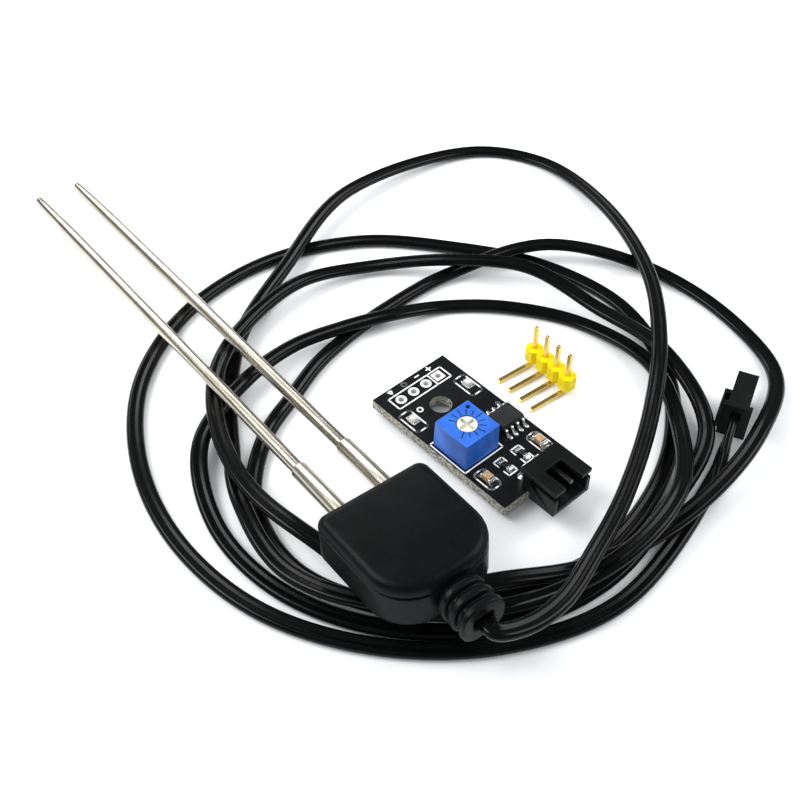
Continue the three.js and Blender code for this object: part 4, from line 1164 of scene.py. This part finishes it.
# %% A tree that repeats a shape along a line
def row_tree():
    tree = bpy.data.node_groups.new("row_of_copies", "GeometryNodeTree")
    tree.interface.new_socket("Geometry", in_out="INPUT", socket_type="NodeSocketGeometry")
    count = tree.interface.new_socket("Count", in_out="INPUT", socket_type="NodeSocketInt")
    step = tree.interface.new_socket("Step", in_out="INPUT", socket_type="NodeSocketVector")
    finish = tree.interface.new_socket("Finish", in_out="INPUT", socket_type="NodeSocketMaterial")
    tree.interface.new_socket("Geometry", in_out="OUTPUT", socket_type="NodeSocketGeometry")
    entry = tree.nodes.new("NodeGroupInput")
    leave = tree.nodes.new("NodeGroupOutput")
    line = tree.nodes.new("GeometryNodeMeshLine")
    copies = tree.nodes.new("GeometryNodeInstanceOnPoints")
    real = tree.nodes.new("GeometryNodeRealizeInstances")
    paint = tree.nodes.new("GeometryNodeSetMaterial")
    tree.links.new(entry.outputs["Count"], line.inputs["Count"])
    tree.links.new(entry.outputs["Step"], line.inputs["Offset"])
    tree.links.new(line.outputs["Mesh"], copies.inputs["Points"])
    tree.links.new(entry.outputs["Geometry"], copies.inputs["Instance"])
    tree.links.new(copies.outputs["Instances"], real.inputs["Geometry"])
    tree.links.new(real.outputs["Geometry"], paint.inputs["Geometry"])
    tree.links.new(entry.outputs["Finish"], paint.inputs["Material"])
    tree.links.new(paint.outputs["Geometry"], leave.inputs["Geometry"])
    return tree, count.identifier, step.identifier, finish.identifier


ROW_TREE, COUNT_SOCKET, STEP_SOCKET, FINISH_SOCKET = row_tree()


def row_of(shape, count, step, material):
    """Copies of a shape along a line, as a bmesh."""
    base = temporary(shape, "row")
    rows = base.modifiers.new("row", "NODES")
    rows.node_group = ROW_TREE
    rows[COUNT_SOCKET] = count
    rows[STEP_SOCKET] = step
    rows[FINISH_SOCKET] = material
    bpy.context.view_layer.update()
    seen = base.evaluated_get(bpy.context.evaluated_depsgraph_get())
    plain = bpy.data.meshes.new_from_object(seen)
    result = bmesh.new()
    result.from_mesh(plain)
    bpy.data.objects.remove(base, do_unlink=True)
    bpy.data.meshes.remove(plain)
    return result


print("row tree inputs:", COUNT_SOCKET, STEP_SOCKET, FINISH_SOCKET)

# %% Chip body
CHIP = (16.4, 11.75)
CHIP_FRAME = BOARD @ Matrix.Translation((*CHIP, 0))
CHIP_LOW = BOARD_TOP + 0.2
CHIP_HIGH = CHIP_LOW + 1.35
CHIP_WIDTH = 3.6
CHIP_LENGTH = 4.6
CHIP_DRAFT = 0.2
CHIP_BELT = 0.08
CHIP_MIDDLE = (CHIP_LOW + CHIP_HIGH) / 2
DIMPLE_RADIUS = 0.32
DIMPLE_DEPTH = 0.06
DIMPLE_PLACE = (-CHIP_WIDTH / 2 + 0.85, CHIP_LENGTH / 2 - 0.8)


def chip_shape():
    shape = bmesh.new()
    rings = []
    levels = (
        (CHIP_LOW, CHIP_DRAFT), (CHIP_MIDDLE - CHIP_BELT, 0),
        (CHIP_MIDDLE + CHIP_BELT, 0), (CHIP_HIGH, CHIP_DRAFT),
    )
    for z, inset in levels:
        outline = rounded_ring(CHIP_WIDTH - 2 * inset, CHIP_LENGTH - 2 * inset, 0.1, 2)
        rings.append(ring_at(outline, z))
    skin(shape, rings)
    dimple = rod_shape(DIMPLE_RADIUS, CHIP_HIGH - DIMPLE_DEPTH, CHIP_HIGH + 1, *DIMPLE_PLACE, 32)
    return carved(shape, [dimple])


piece(
    "chip_body", chip_shape(), CHIP_FRAME, CHIP_BLACK, "board",
    ["comparator_chip"], bevel=0.05,
)

# %% Chip leads
LEAD_PITCH = 1.15
LEAD_COUNT = 4
LEAD_THICKNESS = 0.17
LEAD_BREADTH = 0.42
FOOT = BOARD_TOP + 0.08
FOOT_MIDDLE_X = CHIP_WIDTH / 2 + 0.95


def chip_lead_shape():
    """One lead, bent like a gull's wing: out, down, and along the board."""
    start, knee, end = CHIP_WIDTH / 2 - 0.05, CHIP_WIDTH / 2 + 0.42, CHIP_WIDTH / 2 + 1.12
    over, under = CHIP_MIDDLE + LEAD_THICKNESS / 2, CHIP_MIDDLE - LEAD_THICKNESS / 2
    foot_top = FOOT + LEAD_THICKNESS
    upper = [
        (start, over), (knee - 0.2, over), (knee - 0.06, CHIP_MIDDLE + 0.02),
        (knee + 0.04, foot_top + 0.12), (knee + 0.14, foot_top), (end, foot_top),
    ]
    lower = [
        (end, FOOT), (knee + 0.04, FOOT), (knee - 0.1, FOOT + 0.1),
        (knee - 0.2, under - 0.05), (knee - 0.3, under), (start, under),
    ]
    shape = bmesh.new()
    ribbon(shape, upper + lower, LEAD_BREADTH, 0)
    return shape


def solder_pad_shape():
    """Solder drawn up round a foot: a low mound, wider than the lead."""
    shape = bmesh.new()
    rings = []
    for rise, grow in ((0.0, 0.0), (0.07, -0.03), (0.16, -0.13), (0.2, -0.24)):
        outline = rounded_ring(0.98 + grow * 2, 0.62 + grow * 1.2, 0.16, 3)
        rings.append(ring_at(outline, BOARD_TOP + rise, FOOT_MIDDLE_X))
    skin(shape, rings)
    return shape


for side_name, turn, first_lead in (("near", 0, 1), ("far", 180, 5)):
    row_start = Matrix.Translation((0, -1.5 * LEAD_PITCH, 0))
    row_frame = CHIP_FRAME @ Matrix.Rotation(math.radians(turn), 4, "Z") @ row_start
    leads_row = row_of(chip_lead_shape(), LEAD_COUNT, (0, LEAD_PITCH, 0), TIN)
    nodes = [f"chip_lead_{first_lead + i}" for i in range(LEAD_COUNT)]
    piece(f"chip_leads_{side_name}", leads_row, row_frame, TIN, "board", nodes, angle=50)
    solder_row = row_of(solder_pad_shape(), LEAD_COUNT, (0, LEAD_PITCH, 0), SOLDER)
    piece(f"chip_solder_{side_name}", solder_row, row_frame, SOLDER, "board", angle=70)

# %% [markdown]
# ## Small surface parts
#
# Capacitors, resistors and lights are little blocks between two tinned ends. Each is three
# blocks with softened edges: the middle in its own colour and a cap at each end. The lights
# have a clear resin dome over a white base.

# %% Capacitors and resistors
PART_LIFT = 0.06


def two_ended(name, node, x, y, size, cap, middle_inset, material, slot):
    length, width, height = size
    place = BOARD @ Matrix.Translation((x, y, BOARD_TOP + PART_LIFT))
    body = box_shape(
        (length - 2 * cap, width - 2 * middle_inset, height - middle_inset),
        (0, 0, (height - middle_inset) / 2),
    )
    piece(f"{name}_body", body, place, material, "board", [node], bevel=0.07)
    ends = bmesh.new()
    for side in (-1, 1):
        block(ends, (cap, width, height), (side * (length - cap) / 2, 0, height / 2))
    piece(f"{name}_ends", ends, place, SOLDER, "board", bevel=0.1, segments=3)
    fillets = bmesh.new()
    for side in (-1, 1):
        rings = []
        for z, grow in ((-PART_LIFT, 0.5), (0.02, 0.42), (0.2, 0.18), (height * 0.55, 0.04)):
            outline = rounded_ring(cap + grow, width + grow * 0.3, 0.12, 3)
            rings.append(ring_at(outline, z, side * (length - cap + grow) / 2))
        skin(fillets, rings)
    piece(f"{name}_solder", fillets, place, SOLDER, "board", angle=70)


MIDDLE = BOARD_WIDTH / 2
CAPACITOR_SIZE = (2.0, 1.25, 0.9)
RESISTOR_SIZE = (1.7, 0.9, 0.5)
CAPACITOR = (CAPACITOR_SIZE, 0.42, 0.03, CAPACITOR_TAN, "capacitor_tan")
RESISTOR = (RESISTOR_SIZE, 0.32, 0.02, RESISTOR_BLACK, "resistor_black")
SMALL_PARTS = (
    ("capacitor_one", "capacitor_1", CAPACITOR_INSET, CAPACITOR),
    ("capacitor_two", "capacitor_2", BOARD_WIDTH - CAPACITOR_INSET, CAPACITOR),
    ("resistor_one", "resistor_1", MIDDLE - RESISTOR_OFFSET, RESISTOR),
    ("resistor_two", "resistor_2", MIDDLE + RESISTOR_OFFSET, RESISTOR),
)
for part_name, part_node, part_y, kind in SMALL_PARTS:
    two_ended(part_name, part_node, PASSIVE_X, part_y, *kind)

# %% Lights
def clear_resin():
    material, tree, shader = start_material("clear_resin", (0.86, 0.88, 0.82))
    swirl = noise_node(tree, own_coordinates(tree), scale=900.0)
    tree.links.new(
        tone_ramp(tree, swirl.outputs["Fac"], (0.72, 0.74, 0.68), (0.92, 0.93, 0.88)),
        shader.inputs["Base Color"],
    )
    shader.inputs["Roughness"].default_value = 0.08
    shader.inputs["Transmission Weight"].default_value = 0.35
    shader.inputs["IOR"].default_value = 1.5
    return material


CLEAR_RESIN = clear_resin()
LIGHT_BASE = (1.5, 1.2, 0.4)
LIGHT_END = (0.4, 1.22, 0.42)
DOME_SIZE = (1.3, 1.2)
DOME_LEVELS = ((0.4, 0.0), (0.72, 0.06), (0.86, 0.14), (0.93, 0.3))


def light_part(name, node, y):
    place = BOARD @ Matrix.Translation((LIGHT_X, y, BOARD_TOP + PART_LIFT))
    base = box_shape(LIGHT_BASE, (0, 0, LIGHT_BASE[2] / 2))
    piece(f"{name}_base", base, place, CERAMIC_WHITE, "board", bevel=0.04)
    ends = bmesh.new()
    for side in (-1, 1):
        block(ends, LIGHT_END, (side * 0.8, 0, LIGHT_END[2] / 2))
    piece(f"{name}_ends", ends, place, SOLDER, "board", bevel=0.09)
    dome = bmesh.new()
    rings = []
    for z, inset in DOME_LEVELS:
        outline = rounded_ring(DOME_SIZE[0] - 2 * inset, DOME_SIZE[1] - 2 * inset, 0.2, 4)
        rings.append(ring_at(outline, z))
    skin(dome, rings)
    piece(f"{name}_dome", dome, place, CLEAR_RESIN, "board", [node], angle=50)


light_part("signal_light", "light_signal", BOARD_WIDTH - LIGHT_INSET)
light_part("power_light", "light_power", LIGHT_INSET)

# %% [markdown]
# ## The lead socket
#
# The socket is a black shroud round two pins. It overhangs the end of the board, and the plug
# slides into its open mouth. A U-shaped slot in the top takes the plug's latch, and a slit
# under the top on each side lets the top spring open a little.

# %% Socket housing
SOCKET_BACK = 26.8
SOCKET_MOUTH = 33.5
SOCKET_Y = BOARD_WIDTH / 2 + 0.1
SOCKET_LOW = BOARD_TOP + 0.1
SOCKET_HEIGHT = 4.8
SOCKET_WIDTH = 7.4
SOCKET_WALL = 0.8
SOCKET_BACK_WALL = 1.6
SOCKET_WAIST = 0.75
LATCH_WIDTH = 3.3
LATCH_LENGTH = 4.0
LATCH_DEPTH = 1.2
SLIT_HEIGHT = 0.9
SLIT_START = SOCKET_BACK + SOCKET_BACK_WALL + 0.5


def span_box(x1, x2, y1, y2, z1, z2):
    return box_shape((x2 - x1, y2 - y1, z2 - z1), ((x1 + x2) / 2, (y1 + y2) / 2, (z1 + z2) / 2))


def socket_shape():
    half, top = SOCKET_WIDTH / 2, SOCKET_LOW + SOCKET_HEIGHT
    outer = span_box(SOCKET_BACK, SOCKET_MOUTH, -half, half, SOCKET_LOW, top)
    inside = half - SOCKET_WALL
    room = span_box(
        SOCKET_BACK + SOCKET_BACK_WALL, SOCKET_MOUTH + 1, -inside, inside,
        SOCKET_LOW + SOCKET_WALL, top - SOCKET_WALL,
    )
    slot_start = SOCKET_MOUTH - LATCH_LENGTH
    latch = span_box(
        slot_start, SOCKET_MOUTH + 1, -LATCH_WIDTH / 2, LATCH_WIDTH / 2,
        top - LATCH_DEPTH, top + 1,
    )
    cutters = [room, latch]
    slit_top = top - SOCKET_WALL
    slit_low = slit_top - SLIT_HEIGHT
    for side in (-1, 1):
        low_y, high_y = sorted((side * (half - SOCKET_WALL * 1.5), side * (half + 1)))
        cutters.append(span_box(SLIT_START, SOCKET_MOUTH + 1, low_y, high_y, slit_low, slit_top))
        waist_y, edge_y = sorted((side * (half - SOCKET_WAIST), side * (half + 1)))
        cutters.append(span_box(SOCKET_BACK - 1, SLIT_START, waist_y, edge_y, SOCKET_LOW - 1, slit_top))
    return carved(outer, cutters)


SOCKET_FRAME = BOARD @ Matrix.Translation((0, SOCKET_Y, 0))
piece(
    "socket_shroud", socket_shape(), SOCKET_FRAME, PLUG_BLACK, "board",
    ["socket_housing"], bevel=0.13,
)

# %% Socket pins
PIN = 0.64
PIN_TIP = SOCKET_MOUTH - 1.3
PIN_BACK = SOCKET_BACK - 1.3
PIN_LEVEL = SOCKET_LOW + SOCKET_HEIGHT / 2
PIN_FOOT = 0.02
BEND_INNER, BEND_OUTER = 0.25, 0.85
BEND_CUT = 0.3
TIP_CHAMFER = 0.3


def bent_pin_profile(x_upright, x_tip, level, foot, half):
    """From the foot up, round the bend and out to a chamfered tip."""
    left, right = x_upright - half, x_upright + half
    under, over = level - half, level + half
    return [
        (left, foot), (right, foot), (right, under - BEND_INNER),
        (right + BEND_INNER * BEND_CUT, under - BEND_INNER * BEND_CUT), (right + BEND_INNER, under),
        (x_tip - TIP_CHAMFER, under), (x_tip, level - half * 0.45), (x_tip, level + half * 0.45),
        (x_tip - TIP_CHAMFER, over), (left + BEND_OUTER, over),
        (left + BEND_OUTER * BEND_CUT, over - BEND_OUTER * BEND_CUT), (left, over - BEND_OUTER),
    ]


socket_pin = bmesh.new()
pin_profile = bent_pin_profile(PIN_BACK, PIN_TIP, PIN_LEVEL, PIN_FOOT, PIN / 2)
ribbon(socket_pin, pin_profile, PIN, -PITCH / 2)
socket_pins = row_of(socket_pin, 2, (0, PITCH, 0), TIN)
piece(
    "socket_pins", socket_pins, SOCKET_FRAME, TIN, "board",
    ["socket_pin_left", "socket_pin_right"], bevel=0.05,
)

# %% Solder joints where leads come through the board
JOINT_RADIUS = 0.85
JOINT_SUNK = 0.05
TRIMMER_LEGS = ((1.9, -1.9), (-1.9, 0.0), (1.9, 1.9))


def joint_cone(shape, x, y, radius, top, low):
    rings = []
    for share, scale in ((0.0, 1.0), (0.25, 0.78), (0.6, 0.5), (1.0, 0.36)):
        rings.append(ring_at(circle_ring(radius * scale, 28), low + (top - low) * share, x, y))
    skin(shape, rings)


joints = bmesh.new()
under = BOARD_LOW + JOINT_SUNK
for side in (-1, 1):
    pin_place = (PIN_BACK, SOCKET_Y + side * PITCH / 2)
    joint_cone(joints, *pin_place, JOINT_RADIUS, BOARD_TOP + 0.35, BOARD_TOP - JOINT_SUNK)
    joint_cone(joints, *pin_place, 0.95, 0.35, under)
for x, y in TRIMMER_LEGS:
    joint_cone(joints, TRIMMER[0] + x, TRIMMER[1] + y, JOINT_RADIUS, 0.3, under)
piece("solder_joints", joints, BOARD, SOLDER, "board", angle=70)

# %% [markdown]
# ## The loose pin header
#
# Four square pins go through a strip of yellow blocks with cut corners, so that the strip can
# be snapped to length. The pins stand up from the blocks, and below them they bend and run out
# flat, ready to be soldered into the board's pad row. Block and pin repeat at the same pitch,
# so the row tree serves again.

# %% Header
HEADER = in_frame((24.4, -23.8, 0.0), Matrix.Rotation(math.radians(-90), 4, "Z"))
HEADER_LEVEL = PIN / 2
STRIP_LOW = HEADER_LEVEL + 0.9
STRIP_HEIGHT = 2.5
STRIP_WIDTH = 2.5
STRIP_CHAMFER = 0.55
PIN_UP = 4.25
PIN_OUT = 7.2
UPPER_CHAMFER = 0.35


def strip_block_shape():
    half, deep, cut = PITCH / 2 - 0.002, STRIP_WIDTH / 2, STRIP_CHAMFER
    outline = [
        (-half, -deep + cut), (-half + cut, -deep), (half - cut, -deep), (half, -deep + cut),
        (half, deep - cut), (half - cut, deep), (-half + cut, deep), (-half, deep - cut),
    ]
    shape = bmesh.new()
    prism(shape, outline, STRIP_LOW, STRIP_LOW + STRIP_HEIGHT)
    return shape


strip = row_of(strip_block_shape(), PADS, (PITCH, 0, 0), HEADER_YELLOW)
piece(
    "header_strip", strip, HEADER, HEADER_YELLOW, "pin_header",
    ["header_block"], bevel=0.09,
)


def header_pin_shape():
    half = PIN / 2
    top = STRIP_LOW + STRIP_HEIGHT + PIN_UP
    under, over = HEADER_LEVEL - half, HEADER_LEVEL + half
    profile = [
        (half, under + BEND_OUTER), (half, top - UPPER_CHAMFER), (half * 0.5, top), (-half * 0.5, top),
        (-half, top - UPPER_CHAMFER), (-half, over + BEND_INNER),
        (-half - BEND_INNER * BEND_CUT, over + BEND_INNER * BEND_CUT), (-half - BEND_INNER, over),
        (-PIN_OUT + TIP_CHAMFER, over), (-PIN_OUT, HEADER_LEVEL + half * 0.5),
        (-PIN_OUT, HEADER_LEVEL - half * 0.5), (-PIN_OUT + TIP_CHAMFER, under),
        (half - BEND_OUTER, under), (half - BEND_OUTER * BEND_CUT, under + BEND_OUTER * BEND_CUT),
    ]
    shape = bmesh.new()
    ribbon(shape, profile, PIN, 0)
    quarter_turn = Matrix.Rotation(math.pi / 2, 3, "Z")
    bmesh.ops.rotate(shape, verts=shape.verts, cent=(0, 0, 0), matrix=quarter_turn)
    return shape


header_pins = row_of(header_pin_shape(), PADS, (PITCH, 0, 0), GOLD)
pin_nodes = [f"header_pin_{i + 1}" for i in range(PADS)]
piece("header_pins", header_pins, HEADER, GOLD, "pin_header", pin_nodes, bevel=0.05)

# %% [markdown]
# ## What stays hidden
#
# Inside the probe and the trimmer are pieces that no view shows from outside. Their solids are
# right as they are, so they only get the finish of the real thing.

# %% Finishes for the inner pieces
INNER_FINISHES = {
    "needle_holder": CERAMIC_WHITE,
    "solder_joint_left": SOLDER,
    "solder_joint_right": SOLDER,
    "core_left": COPPER,
    "core_right": COPPER,
    "trimmer_wiper": NICKEL,
    "trimmer_substrate": CERAMIC_WHITE,
    "trimmer_leg_1": TIN,
    "trimmer_leg_2": TIN,
    "trimmer_leg_3": TIN,
}
for node_name, finish in INNER_FINISHES.items():
    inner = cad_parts[node_name]
    for inner_slot in inner.material_slots:
        inner_slot.material = finish
print("inner pieces finished:", len(INNER_FINISHES))
